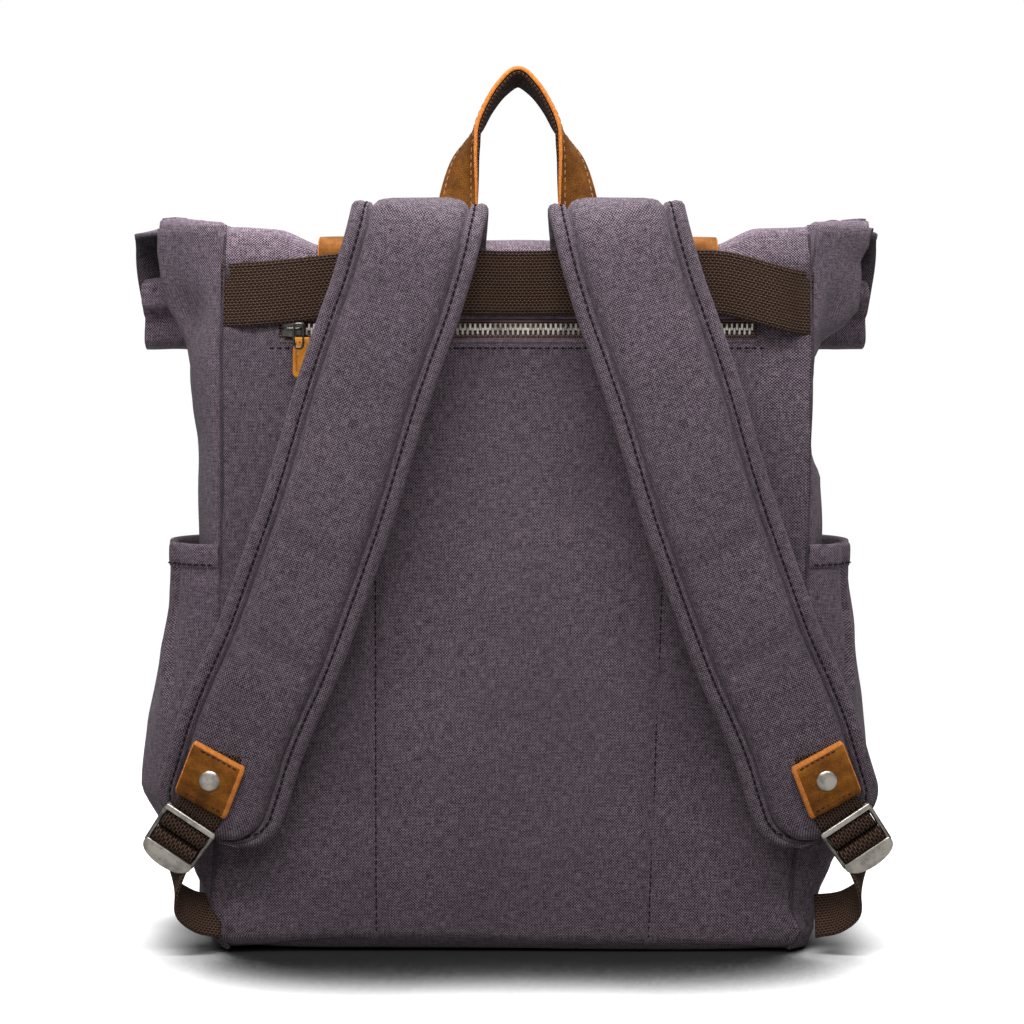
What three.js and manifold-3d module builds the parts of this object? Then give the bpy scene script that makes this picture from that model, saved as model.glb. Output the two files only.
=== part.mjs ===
// A roll-top canvas backpack, in millimetres. +Z is up, the carrying side faces -Y, and the origin is
// the centre of the base's underside. Left and right are as seen from the carrying side.
import * as THREE from 'three';
import { mergeVertices } from 'three/addons/utils/BufferGeometryUtils.js';
import Module from 'manifold-3d';

const wasm = await Module();
wasm.setup();

// Driving dimensions
const GAP = 0.3; // clearance between touching pieces
const CANVAS = 1.6; // panel thickness, face cloth with its turned seam allowance
const WEBBING = 2.3;
const LEATHER = 2.2;
const HALF_WIDTH = 161; // rear and front panels
const HALF_DEPTH = 66;
const SHOULDER_Z = 262; // where the front panel starts to slope back
const NECK_Z = 330;
const MOUTH_Z = 392; // top of the gussets and the front panel
const MOUTH_FRONT_Y = 5;
const TOP_Z = 403; // top of the fold behind the roll
const ROLL_HALF = 222;
const ROLL_LAYER = 3;
const ZIP_Z = 344;
const ZIP_HALF = 131;
const CLOSURE_X = 90;
const CLOSURE_WIDTH = 38;
const STRAP_WIDTH = 72;
const FOAM = 8;
const ADJUST_WIDTH = 26;
const HANDLE_WIDTH = 23;
const HANDLE_HEIGHT = 491;
const POCKET_RIM_Z = 224;
const HEM_HEIGHT = 12;

const FINISH = {
  canvas: { color: 0x5c4f5a, roughness: 0.95, metalness: 0 },
  lining: { color: 0x8a7c6c, roughness: 0.9, metalness: 0 },
  foam: { color: 0x2c2c2e, roughness: 1, metalness: 0 },
  board: { color: 0x3a3a3a, roughness: 0.7, metalness: 0 },
  webbing: { color: 0x2b211c, roughness: 0.9, metalness: 0 },
  leather: { color: 0x7a4a24, roughness: 0.6, metalness: 0 },
  metal: { color: 0x9a958c, roughness: 0.35, metalness: 1 },
};

const bag = new THREE.Group();

function add(name, geometry, finish) {
  const mesh = new THREE.Mesh(geometry, new THREE.MeshStandardMaterial(FINISH[finish]));
  mesh.name = name;
  bag.add(mesh);
  return mesh;
}

const vec = (x, y, z) => new THREE.Vector3(x, y, z);

// Adds a left piece and its mirror image on the right.
function addPair(name, geometry, finish) {
  const bare = geometry.clone();
  bare.deleteAttribute('normal');
  bare.deleteAttribute('uv');
  add(`${name}_left`, geometry, finish);
  add(`${name}_right`, flipped(mergeVertices(bare).scale(-1, 1, 1)), finish);
}

// Vertex normals of a grid of points, from the cross product of its row and column directions.
function gridNormals(rows) {
  const last = rows.length - 1;
  return rows.map((row, i) => row.map((point, j) => {
    const along = rows[Math.min(i + 1, last)][j].clone().sub(rows[Math.max(i - 1, 0)][j]);
    const across = row[Math.min(j + 1, row.length - 1)].clone().sub(row[Math.max(j - 1, 0)]);
    return along.cross(across).normalize();
  }));
}

// A closed solid between two offsets of a grid of points, measured along the grid's normals.
function thickSheet(rows, near, far, normals = gridNormals(rows)) {
  const rowCount = rows.length;
  const width = rows[0].length;
  const layer = rowCount * width;
  const positions = [];
  for (const offset of [near, far]) {
    rows.forEach((row, i) => row.forEach((point, j) => {
      positions.push(...point.clone().addScaledVector(normals[i][j], offset).toArray());
    }));
  }
  const index = [];
  const quad = (a, b, c, d) => index.push(a, b, c, a, c, d);
  for (let i = 0; i + 1 < rowCount; i++) {
    for (let j = 0; j + 1 < width; j++) {
      const a = i * width + j;
      quad(a, a + 1, a + width + 1, a + width);
      quad(layer + a, layer + a + width, layer + a + width + 1, layer + a + 1);
    }
    const start = i * width;
    const end = start + width - 1;
    quad(start, start + width, layer + start + width, layer + start);
    quad(end, layer + end, layer + end + width, end + width);
  }
  const lastRow = (rowCount - 1) * width;
  for (let j = 0; j + 1 < width; j++) {
    quad(j, layer + j, layer + j + 1, j + 1);
    quad(lastRow + j, lastRow + j + 1, layer + lastRow + j + 1, layer + lastRow + j);
  }
  const geometry = new THREE.BufferGeometry();
  geometry.setAttribute('position', new THREE.Float32BufferAttribute(positions, 3));
  geometry.setIndex(index);
  return signedVolume(geometry) < 0 ? flipped(geometry) : geometry;
}

function signedVolume(geometry) {
  const position = geometry.getAttribute('position');
  const corners = [vec(0, 0, 0), vec(0, 0, 0), vec(0, 0, 0)];
  let volume = 0;
  for (let i = 0; i < geometry.index.count; i += 3) {
    corners.forEach((corner, k) => corner.fromBufferAttribute(position, geometry.index.getX(i + k)));
    volume += corners[0].dot(corners[1].clone().cross(corners[2])) / 6;
  }
  return volume;
}

function flipped(geometry) {
  const index = Array.from(geometry.index.array);
  for (let i = 0; i < index.length; i += 3) {
    [index[i], index[i + 1]] = [index[i + 1], index[i]];
  }
  geometry.setIndex(index);
  return geometry;
}

function asSolid(geometry) {
  const bare = geometry.clone();
  bare.deleteAttribute('normal');
  bare.deleteAttribute('uv');
  const merged = mergeVertices(bare);
  return new wasm.Manifold(new wasm.Mesh({
    numProp: 3,
    vertProperties: new Float32Array(merged.getAttribute('position').array),
    triVerts: new Uint32Array(merged.index.array),
  }));
}

function asGeometry(solid) {
  const mesh = solid.getMesh();
  const geometry = new THREE.BufferGeometry();
  geometry.setAttribute('position', new THREE.Float32BufferAttribute(mesh.vertProperties, 3));
  geometry.setIndex(Array.from(mesh.triVerts));
  return geometry;
}

function box(low, high) {
  const size = high.map((value, axis) => value - low[axis]);
  const centre = high.map((value, axis) => (value + low[axis]) / 2);
  return new THREE.BoxGeometry(...size).translate(...centre);
}

const rectangle = (halfWidth, low, high) => [
  [-halfWidth, low], [halfWidth, low], [halfWidth, high], [-halfWidth, high],
];

function outline(points) {
  return new THREE.Shape(points.map(([u, v]) => new THREE.Vector2(u, v)));
}

// Turns an outline drawn in the X-Y plane into the Y-Z plane, with its depth along X.
const TURN_TO_X = new THREE.Matrix4().makeBasis(vec(0, 1, 0), vec(0, 0, 1), vec(1, 0, 0));

// An outline in the Y-Z plane, extruded along X and centred there.
function extrudeAlongX(points, width) {
  return new THREE.ExtrudeGeometry(outline(points), { depth: width, bevelEnabled: false })
    .applyMatrix4(TURN_TO_X)
    .translate(-width / 2, 0, 0);
}

// The outline of a band of even thickness that follows a 2-D path.
function bandOutline(path, thickness) {
  const sides = path.map(([u, v], i) => {
    const before = path[Math.max(i - 1, 0)];
    const after = path[Math.min(i + 1, path.length - 1)];
    const inward = new THREE.Vector2(u - before[0], v - before[1]).normalize();
    const outward = new THREE.Vector2(after[0] - u, after[1] - v).normalize();
    const tangent = i === 0 ? outward : i === path.length - 1 ? inward : inward.add(outward).normalize();
    return [-tangent.y * thickness / 2, tangent.x * thickness / 2];
  });
  const outer = path.map(([u, v], i) => [u + sides[i][0], v + sides[i][1]]);
  const inner = path.map(([u, v], i) => [u - sides[i][0], v - sides[i][1]]);
  return [...outer, ...inner.reverse()];
}

// A sheet of even width that follows a path in the Y-Z plane. Its normals point to the path's left, so
// they point out of the bag on a path that runs from the rear over the top to the front.
function stripAlongPath(path, centreX, width, near, far) {
  const rows = path.map(([y, z]) => [vec(centreX + width / 2, y, z), vec(centreX - width / 2, y, z)]);
  return thickSheet(rows, near, far);
}

// Base
const BASE_OUTLINE = [
  [-160, -64], [160, -64], [173, -22], [173, 24], [160, 63], [-160, 63], [-173, 24], [-173, -22],
];
function basePlate(low, thickness, inset) {
  const scale = 1 - inset / HALF_WIDTH;
  const points = BASE_OUTLINE.map(([x, y]) => [x * scale, y * scale]);
  return new THREE.ExtrudeGeometry(outline(points), { depth: thickness, bevelEnabled: false })
    .translate(0, 0, low);
}
add('base_panel', basePlate(0, CANVAS, 0), 'canvas');
add('base_board', basePlate(CANVAS + GAP, 3, 5), 'board');
const LINING_FLOOR_Z = CANVAS + GAP + 3 + GAP;

// Gussets: bowed outwards in plan, narrowing towards the mouth
function gussetRow(z, bow, frontX, frontY) {
  const rearY = -HALF_DEPTH + 1.5;
  const points = [
    [HALF_WIDTH + 0.3, rearY],
    [HALF_WIDTH + bow * 0.8, rearY + (frontY - rearY) * 0.25],
    [HALF_WIDTH + bow, rearY + (frontY - rearY) * 0.6],
    [frontX, frontY],
  ];
  return points.map(([x, y]) => vec(-x, y, z));
}
addPair('gusset', thickSheet([
  gussetRow(0.4, 15, 163, HALF_DEPTH - 2),
  gussetRow(110, 19, 163, HALF_DEPTH - 2),
  gussetRow(SHOULDER_Z, 20, 163, HALF_DEPTH - 2),
  gussetRow(NECK_Z, 27, 164, MOUTH_FRONT_Y + 6),
  gussetRow(MOUTH_Z, 42, 164, MOUTH_FRONT_Y),
], 0, CANVAS), 'canvas');

// Rear panels, with the pocket zip between them
const REAR_FACE_Y = -HALF_DEPTH;
const REAR_INNER_Y = REAR_FACE_Y + CANVAS;
const ZIP_SLOT = 7; // half the height of the slot that the zip closes
function rearPlate(points) {
  const geometry = new THREE.ExtrudeGeometry(outline(points), { depth: CANVAS, bevelEnabled: false });
  return geometry.rotateX(Math.PI / 2).translate(0, REAR_INNER_Y, 0);
}
const REAR_X = HALF_WIDTH - 0.5;
add('rear_panel_lower', rearPlate([
  [-REAR_X, 0.4], [REAR_X, 0.4], [REAR_X, ZIP_Z + ZIP_SLOT], [ZIP_HALF + 1, ZIP_Z + ZIP_SLOT],
  [ZIP_HALF + 1, ZIP_Z - ZIP_SLOT], [-ZIP_HALF - 1, ZIP_Z - ZIP_SLOT],
  [-ZIP_HALF - 1, ZIP_Z + ZIP_SLOT], [-REAR_X, ZIP_Z + ZIP_SLOT],
]), 'canvas');
const FOLD_PATH = [
  [REAR_FACE_Y, ZIP_Z + ZIP_SLOT + GAP], [REAR_FACE_Y, TOP_Z - 9], [REAR_FACE_Y + 6, TOP_Z - 2],
  [-52, TOP_Z], [-40, TOP_Z],
];
add('rear_panel_upper', stripAlongPath(FOLD_PATH, 0, 2 * REAR_X, 0, -CANVAS), 'canvas');
add('rear_pocket_lining', box([-140, -58.5, 60], [140, -57.5, 366]), 'lining');
add('back_foam', box([-150, -57.2, 12], [150, -51.2, 335]), 'foam');

// Rear pocket zip: tapes, the two rows of teeth, slider and pull
const TAPE_Y = REAR_INNER_Y + GAP;
add('zip_tape_lower', box([-ZIP_HALF, TAPE_Y, ZIP_Z - 14], [ZIP_HALF, TAPE_Y + 0.8, ZIP_Z - 3]), 'webbing');
add('zip_tape_upper', box([-ZIP_HALF, TAPE_Y, ZIP_Z + 3], [ZIP_HALF, TAPE_Y + 0.8, ZIP_Z + 14]), 'webbing');
const TEETH_Y = [REAR_FACE_Y + 0.4, REAR_INNER_Y + 1];
const TEETH_X = ZIP_HALF - 1;
add('zip_teeth_lower', box([-TEETH_X, TEETH_Y[0], ZIP_Z - 2.7], [TEETH_X, TEETH_Y[1], ZIP_Z - 0.6]), 'metal');
add('zip_teeth_upper', box([-TEETH_X, TEETH_Y[0], ZIP_Z + 0.6], [TEETH_X, TEETH_Y[1], ZIP_Z + 2.7]), 'metal');

const SLIDER_X = -123;
const SLIDER_FRONT_Y = REAR_FACE_Y - 2.2;
const SLIDER_BACK_Y = REAR_INNER_Y + 3.4;
const BRIDGE_Y = SLIDER_FRONT_Y - 4.6; // middle of the bar that the pull's ring hangs on
const BRIDGE_HEIGHT = 2;
function zipSlider() {
  const web = 0.35;
  const plate = 1.8;
  const half = 4.8;
  const section = [
    [SLIDER_FRONT_Y, ZIP_Z - half], [SLIDER_FRONT_Y + plate, ZIP_Z - half],
    [SLIDER_FRONT_Y + plate, ZIP_Z - web], [SLIDER_BACK_Y - plate, ZIP_Z - web],
    [SLIDER_BACK_Y - plate, ZIP_Z - half], [SLIDER_BACK_Y, ZIP_Z - half],
    [SLIDER_BACK_Y, ZIP_Z + half], [SLIDER_BACK_Y - plate, ZIP_Z + half],
    [SLIDER_BACK_Y - plate, ZIP_Z + web], [SLIDER_FRONT_Y + plate, ZIP_Z + web],
    [SLIDER_FRONT_Y + plate, ZIP_Z + half], [SLIDER_FRONT_Y, ZIP_Z + half],
  ];
  const body = extrudeAlongX(section, 13);
  const bridgePath = [[-5, SLIDER_FRONT_Y + 1], [-5, BRIDGE_Y], [5, BRIDGE_Y], [5, SLIDER_FRONT_Y + 1]];
  const bridge = new THREE.ExtrudeGeometry(outline(bandOutline(bridgePath, 1.4)), {
    depth: BRIDGE_HEIGHT, bevelEnabled: false,
  }).translate(0, 0, ZIP_Z - BRIDGE_HEIGHT / 2);
  return asGeometry(asSolid(body).add(asSolid(bridge))).translate(SLIDER_X, 0, 0);
}
add('zip_slider', zipSlider(), 'metal');

// The pull's ring stands round the bridge, and its leather tab hangs below the ring.
const RING_WIRE = 1.1;
const RING_HALF = 2.5;
const RING_TOP_Z = ZIP_Z + 3;
const RING_LOW_Z = ZIP_Z - 9;
function pullRing() {
  const ring = outline(rectangle(RING_HALF, RING_LOW_Z, RING_TOP_Z));
  const hole = rectangle(RING_HALF - RING_WIRE, RING_LOW_Z + RING_WIRE, RING_TOP_Z - RING_WIRE);
  ring.holes.push(new THREE.Path(hole.reverse().map(([u, v]) => new THREE.Vector2(u, v))));
  return new THREE.ExtrudeGeometry(ring, { depth: RING_WIRE, bevelEnabled: false })
    .applyMatrix4(TURN_TO_X)
    .translate(SLIDER_X - RING_WIRE / 2, BRIDGE_Y, 0);
}
add('zip_pull_ring', pullRing(), 'metal');
const TAB_TOP_Z = RING_LOW_Z - GAP;
add('zip_pull_tab', box(
  [SLIDER_X - 4.5, BRIDGE_Y - LEATHER / 2, TAB_TOP_Z - 18],
  [SLIDER_X + 4.5, BRIDGE_Y + LEATHER / 2, TAB_TOP_Z],
), 'leather');

// Front panel, sloping back under the roll
const FRONT_PATH = [
  [HALF_DEPTH - 1, 0.4], [HALF_DEPTH - 1, SHOULDER_Z], [MOUTH_FRONT_Y + 6, NECK_Z], [MOUTH_FRONT_Y, MOUTH_Z],
];
add('front_panel', stripAlongPath(FRONT_PATH, 0, 2 * REAR_X, 0, CANVAS), 'canvas');

// Lining and laptop sleeve
const LINING_FRONT_Y = HALF_DEPTH - 1 - CANVAS - GAP - 0.5;
const LINING_X = 156;
const liningOuter = box([-LINING_X, -50.9, LINING_FLOOR_Z], [LINING_X, LINING_FRONT_Y, 252]);
const liningInner = box(
  [-LINING_X + 0.8, -50.1, LINING_FLOOR_Z + 0.8],
  [LINING_X - 0.8, LINING_FRONT_Y - 0.8, 260],
);
add('lining', asGeometry(asSolid(liningOuter).subtract(asSolid(liningInner))), 'lining');
add('laptop_sleeve', box([-142, -43.5, 8], [142, -40, 240]), 'lining');

// Side pockets, bellied out from the gussets, with a folded hem along each rim
const POCKET_SEAM_X = HALF_WIDTH + 3.6;
function pocketRow(z, reach) {
  const rearY = -HALF_DEPTH + 1.5;
  const belly = reach - POCKET_SEAM_X;
  const points = [
    [POCKET_SEAM_X, rearY], [POCKET_SEAM_X + belly * 0.8, -44], [reach - 2, -18], [reach, 8],
    [POCKET_SEAM_X + belly * 0.85, 42], [POCKET_SEAM_X + 2, 62],
  ];
  return points.map(([x, y]) => vec(-x, y, z));
}
const HEM_LOW_Z = POCKET_RIM_Z - HEM_HEIGHT;
addPair('side_pocket', thickSheet([
  pocketRow(2, 184), pocketRow(22, 202), pocketRow(80, 214), pocketRow(150, 211),
  pocketRow(HEM_LOW_Z - GAP, 204),
], 0, CANVAS), 'canvas');
addPair('side_pocket_hem', thickSheet([
  pocketRow(HEM_LOW_Z, 204), pocketRow(POCKET_RIM_Z, 203),
], 0, 2.6), 'canvas');

// Webbing band across the back, over the sewn ends of the straps, handle and closures
const ANCHOR_Y = REAR_FACE_Y - GAP;
const ROOT_Y = ANCHOR_Y - 1.6 - GAP;
const BAND_Y = ROOT_Y - WEBBING - GAP;
const BAND_LOW_Z = 352;
const BAND_HIGH_Z = BAND_LOW_Z + 34;
add('webbing_band', box(
  [-HALF_WIDTH, BAND_Y - WEBBING, BAND_LOW_Z], [HALF_WIDTH, BAND_Y, BAND_HIGH_Z],
), 'webbing');

// Closure straps: sewn under the band, over the fold, and down the front to a magnetic snap
const ANCHOR_PATH = [
  [REAR_FACE_Y, BAND_LOW_Z + 2], [REAR_FACE_Y, TOP_Z - 9], [REAR_FACE_Y + 6, TOP_Z - 2], [-52, TOP_Z],
  [-42, TOP_Z],
];
const ROLL_TOP_Z = TOP_Z + 1.5;
const CLOSURE_PATH = [
  [-38, ROLL_TOP_Z + GAP], [40, ROLL_TOP_Z + GAP], [48, ROLL_TOP_Z - 3], [52, ROLL_TOP_Z - 10],
  [52, 345], [60, 310], [72, 268], [86, 236], [88.6, 226], [88.6, 186],
];
const BUCKLE_SPAN = 4; // the stretch of the path that carries the buckle
const SNAP_Z = 204;
const POCKET_FRONT_Y = 84;
const SNAP_RADIUS = 7;
const SNAP_DEPTH = 1.7;
// Half of a magnetic snap: a flat turned disc with its axis along Y, from rearY forwards
function snapHalf(rearY) {
  const profile = [
    [0, 0], [SNAP_RADIUS, 0], [SNAP_RADIUS, SNAP_DEPTH - 0.5], [SNAP_RADIUS - 0.6, SNAP_DEPTH],
    [0, SNAP_DEPTH],
  ];
  return new THREE.LatheGeometry(profile.map(([r, h]) => new THREE.Vector2(r, h)), 20)
    .translate(-CLOSURE_X, rearY, SNAP_Z);
}
function closureBuckle(centreX) {
  const frame = outline(rectangle(23, -13, 13));
  frame.holes.push(new THREE.Path(rectangle(19, -9, 9).reverse().map(([u, v]) => new THREE.Vector2(u, v))));
  const [upperEnd, lowerEnd] = CLOSURE_PATH.slice(BUCKLE_SPAN, BUCKLE_SPAN + 2).map(([y, z]) => vec(0, y, z));
  const up = upperEnd.clone().sub(lowerEnd).normalize();
  const out = vec(0, up.z, -up.y);
  const centre = upperEnd.add(lowerEnd).multiplyScalar(0.5).addScaledVector(out, LEATHER + GAP);
  const place = new THREE.Matrix4().makeBasis(vec(-1, 0, 0), up, out).setPosition(centre);
  return new THREE.ExtrudeGeometry(frame, { depth: 2.4, bevelEnabled: false })
    .applyMatrix4(place)
    .translate(centreX, 0, 0);
}
addPair('closure_anchor', stripAlongPath(ANCHOR_PATH, -CLOSURE_X, CLOSURE_WIDTH, GAP, GAP + 1.6), 'leather');
addPair('closure_strap', stripAlongPath(CLOSURE_PATH, -CLOSURE_X, CLOSURE_WIDTH, 0, LEATHER), 'leather');
addPair('closure_buckle', closureBuckle(-CLOSURE_X), 'metal');
addPair('snap_socket', snapHalf(POCKET_FRONT_Y + GAP), 'metal');
addPair('snap_stud', snapHalf(POCKET_FRONT_Y + 2 * GAP + SNAP_DEPTH), 'metal');

// Front patch pocket, open at the top
const frontPocketOuter = box([-125, HALF_DEPTH, 18], [125, POCKET_FRONT_Y, 228]);
const frontPocketInner = box([-125 + CANVAS, 0, 18 + CANVAS], [125 - CANVAS, POCKET_FRONT_Y - CANVAS, 240]);
add('front_pocket', asGeometry(asSolid(frontPocketOuter).subtract(asSolid(frontPocketInner))), 'canvas');

// The rolled top: the flattened mouth turned over itself, with its stiffener in the core
const ROLL_PATH = [
  [-38, TOP_Z], [38, TOP_Z], [46, TOP_Z - 4], [50, TOP_Z - 11], [50, 345], [46, 338], [34, 335.5], [22, 338],
  [18, 345], [18, 386], [23, 392], [34, 393], [41, 388], [42, 352], [38, 347],
];
add('roll_flap', extrudeAlongX(bandOutline(ROLL_PATH, ROLL_LAYER), 2 * ROLL_HALF), 'canvas');
add('roll_stiffener', box([-200, 28, 350], [200, 32, 384]), 'board');

// Carry handle: leather outside, webbing inside, turned edge-on towards its crown
const HANDLE_LEG = [[34, 405, 0], [33, 414, 8], [30, 432, 24], [23, 454, 46], [12, 477, 72]];
function handleRows() {
  const left = HANDLE_LEG.map(([x, z, twist]) => ({ x: -x, z, twist }));
  const right = HANDLE_LEG.map(([x, z, twist]) => ({ x, z, twist })).reverse();
  const path = [...left, { x: 0, z: HANDLE_HEIGHT, twist: 90 }, ...right];
  return path.map(({ x, z, twist }, i) => {
    const before = path[Math.max(i - 1, 0)];
    const after = path[Math.min(i + 1, path.length - 1)];
    const tangent = vec(after.x - before.x, 0, after.z - before.z).normalize();
    const turn = THREE.MathUtils.degToRad(twist);
    const across = vec(tangent.z, 0, -tangent.x).multiplyScalar(Math.cos(turn));
    across.addScaledVector(vec(0, 1, 0), -Math.sin(turn));
    const centre = vec(x, REAR_FACE_Y - 1.2 + 8 * Math.sin(turn), z);
    return [0.5, -0.5].map((share) => centre.clone().addScaledVector(across, share * HANDLE_WIDTH));
  });
}
add('handle_leather', thickSheet(handleRows(), 0, LEATHER), 'leather');
add('handle_lining', thickSheet(handleRows(), -GAP, -GAP - 1.6), 'webbing');
const [FOOT_X, FOOT_TOP_Z] = HANDLE_LEG[0];
addPair('handle_foot', box(
  [-FOOT_X - HANDLE_WIDTH / 2, ANCHOR_Y - 1.6, BAND_LOW_Z + 2],
  [-FOOT_X + HANDLE_WIDTH / 2, ANCHOR_Y, FOOT_TOP_Z - 3],
), 'leather');

// Shoulder straps: face cloth, foam and backing follow one centreline, which lies on the outer face.
// The points are the left strap's, from the band over the arch to the buckle.
const STRAP_LINE = [
  [-53, -73, 389], [-52, -79, 404.5], [-51.5, -93.5, 412], [-53, -108, 404.5], [-57, -114, 386],
  [-65, -113, 359], [-73, -112, 337], [-84, -110, 305], [-100, -107, 252], [-114, -103, 212],
  [-130, -99, 169], [-141, -96, 145], [-151, -93, 121], [-158, -90, 99], [-164, -88, 81],
];
const STRAP_CURVE = new THREE.CatmullRomCurve3(STRAP_LINE.map(([x, y, z]) => vec(x, y, z)));
const STRAP_STEPS = 28;
const TIP_SHARE = 0.955; // where the strap's end starts to round off
// Centre, width direction and running direction at a share of the strap's length
function strapFrame(share, outset = 0) {
  const centre = STRAP_CURVE.getPoint(share);
  const tangent = STRAP_CURVE.getTangent(share);
  const falling = THREE.MathUtils.smoothstep(-tangent.z, 0.1, 0.9);
  const across = vec(1, 0, -falling * tangent.x / Math.min(tangent.z, -0.1));
  across.addScaledVector(tangent, -across.dot(tangent)).normalize();
  centre.addScaledVector(across, -outset);
  return { centre, across, tangent };
}
function strapLayer(near, far) {
  const rows = [];
  const normals = [];
  for (let i = 0; i <= STRAP_STEPS; i++) {
    const share = i / STRAP_STEPS;
    const { centre, across, tangent } = strapFrame(share);
    const tip = Math.max(0, (share - TIP_SHARE) / (1 - TIP_SHARE));
    const half = STRAP_WIDTH / 2 * (1 - 0.45 * tip * tip);
    const normal = tangent.clone().cross(across).normalize();
    rows.push([-half, half].map((reach) => centre.clone().addScaledVector(across, reach)));
    normals.push([normal, normal]);
  }
  return thickSheet(rows, near, far, normals);
}
const FOAM_TOP = -CANVAS - GAP;
const BACKING_TOP = FOAM_TOP - FOAM - 2 * GAP;
addPair('shoulder_strap_face', strapLayer(0, -CANVAS), 'canvas');
addPair('shoulder_strap_foam', strapLayer(FOAM_TOP, FOAM_TOP - FOAM), 'foam');
addPair('shoulder_strap_backing', strapLayer(BACKING_TOP, BACKING_TOP - CANVAS), 'canvas');
const [ROOT_X, , ROOT_TOP_Z] = STRAP_LINE[0];
addPair('strap_root', box(
  [ROOT_X - STRAP_WIDTH / 2, ROOT_Y - WEBBING + 0.1, BAND_LOW_Z + 2],
  [ROOT_X + STRAP_WIDTH / 2, ROOT_Y, ROOT_TOP_Z - 1],
), 'canvas');

// The matrix for a piece that is drawn across X, with Y up the strap and Z out of the strap's face,
// turned outboard in the plane of that face.
function frameMatrix(share, outset, turn) {
  const { centre, across, tangent } = strapFrame(share, outset);
  const normal = tangent.clone().cross(across).normalize();
  const along = normal.clone().cross(across);
  return new THREE.Matrix4().makeBasis(across, along, normal).setPosition(centre)
    .multiply(new THREE.Matrix4().makeRotationZ(-THREE.MathUtils.degToRad(turn)));
}

const WEB_OUTSET = 7; // the webbing leaves the strap outboard of its centreline
const FACE_WEB = 1.8;
const WEB_RISE = FACE_WEB + 3 * GAP; // outer side of the webbing above the strap's face
const LOOP_REACH = 9; // from the strap's end to the buckle's top bar
const LOOP_RADIUS = 3.8;
const BAR_DEPTH = WEB_RISE - LOOP_RADIUS;
const BUCKLE_LENGTH = 22; // from the top bar to the root of the lift tab
const TAB_REACH = 10;
const END_TURN = 15;
const END_FRAME = frameMatrix(1, WEB_OUTSET, END_TURN);

// The short webbing sewn along the strap's end, looped round the buckle's top bar
function faceWebbing() {
  const rows = [];
  const addRow = (matrix, along, out) => rows.push([-1, 1].map((end) => (
    vec(end * ADJUST_WIDTH / 2, along, out).applyMatrix4(matrix))));
  for (const [share, turn] of [[0.87, 4], [0.9, 6], [0.93, 9], [0.96, 12], [0.985, 14]]) {
    addRow(frameMatrix(share, WEB_OUTSET, turn), 0, WEB_RISE);
  }
  for (let degrees = 0; degrees <= 180; degrees += 30) {
    const turn = THREE.MathUtils.degToRad(degrees);
    addRow(END_FRAME, -LOOP_REACH - LOOP_RADIUS * Math.sin(turn), BAR_DEPTH + LOOP_RADIUS * Math.cos(turn));
  }
  addRow(END_FRAME, -LOOP_REACH + 3, BAR_DEPTH - LOOP_RADIUS);
  return thickSheet(rows, 0, -FACE_WEB);
}
addPair('strap_webbing', faceWebbing(), 'webbing');

// Leather patch over the webbing, held by one rivet
const PATCH_FRAME = frameMatrix(0.915, WEB_OUTSET - 2, 8);
const PATCH_TOP = WEB_RISE + 2 * GAP + LEATHER;
const RIVET_HEIGHT = 1.6;
addPair('strap_patch', new THREE.BoxGeometry(30, 29, LEATHER)
  .translate(0, 0, PATCH_TOP - LEATHER / 2).applyMatrix4(PATCH_FRAME), 'leather');
addPair('strap_rivet', new THREE.CylinderGeometry(4.6, 5.6, RIVET_HEIGHT, 20).rotateX(Math.PI / 2)
  .translate(0, 0, PATCH_TOP + GAP + RIVET_HEIGHT / 2).applyMatrix4(PATCH_FRAME), 'metal');

// Ladder-lock buckle, drawn with its top bar along X: two slots, then a half-round lift tab
function ladderBuckle() {
  const half = ADJUST_WIDTH / 2 + 2.2;
  const slotHalf = ADJUST_WIDTH / 2 + 0.5;
  const bar = 1.2;
  const shape = new THREE.Shape();
  shape.moveTo(half, bar);
  shape.lineTo(-half, bar);
  shape.lineTo(-half, -BUCKLE_LENGTH);
  shape.absellipse(0, -BUCKLE_LENGTH, half, TAB_REACH, Math.PI, 2 * Math.PI, false, 0);
  shape.closePath();
  for (const [low, high] of [[-8.5, -bar], [-18, -11]]) {
    shape.holes.push(new THREE.Path([
      new THREE.Vector2(-slotHalf, low), new THREE.Vector2(-slotHalf, high),
      new THREE.Vector2(slotHalf, high), new THREE.Vector2(slotHalf, low),
    ]));
  }
  return new THREE.ExtrudeGeometry(shape, { depth: 2 * bar, bevelEnabled: false, curveSegments: 10 })
    .translate(0, -LOOP_REACH, BAR_DEPTH - bar);
}

addPair('ladder_buckle', ladderBuckle().applyMatrix4(END_FRAME), 'metal');

// The webbing from the buckle to the bag's bottom corner: centre and width direction at each place
const ADJUST_PATH = [
  [-181, -78.5, 61, 0.8, 0, -0.6], [-184, -77.5, 50, 0.94, 0, -0.34], [-183, -76.5, 39, 0.98, 0, 0.2],
  [-178, -74.5, 29.5, 0.79, 0, 0.61], [-171, -71.5, 23.5, 0.4, 0, 0.92], [-163.5, -69, 21.5, 0, 0, 1],
];
addPair('adjust_webbing', thickSheet(ADJUST_PATH.map(([x, y, z, ...direction]) => {
  const across = vec(...direction).normalize();
  return [-1, 1].map((end) => vec(x, y, z).addScaledVector(across, end * ADJUST_WIDTH / 2));
}), 0, 1.8), 'webbing');

export default bag;
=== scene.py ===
"""Looks of the roll-top canvas backpack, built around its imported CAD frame.

Shapes are worked out in millimetres in the CAD frame (+Z up, carrying side towards -Y) and turned into
metres when a mesh is made. The shoulder straps are built at the left and mirrored to the right.
"""

import math
import bmesh
import bpy
from mathutils import Matrix, Vector, noise


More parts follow.
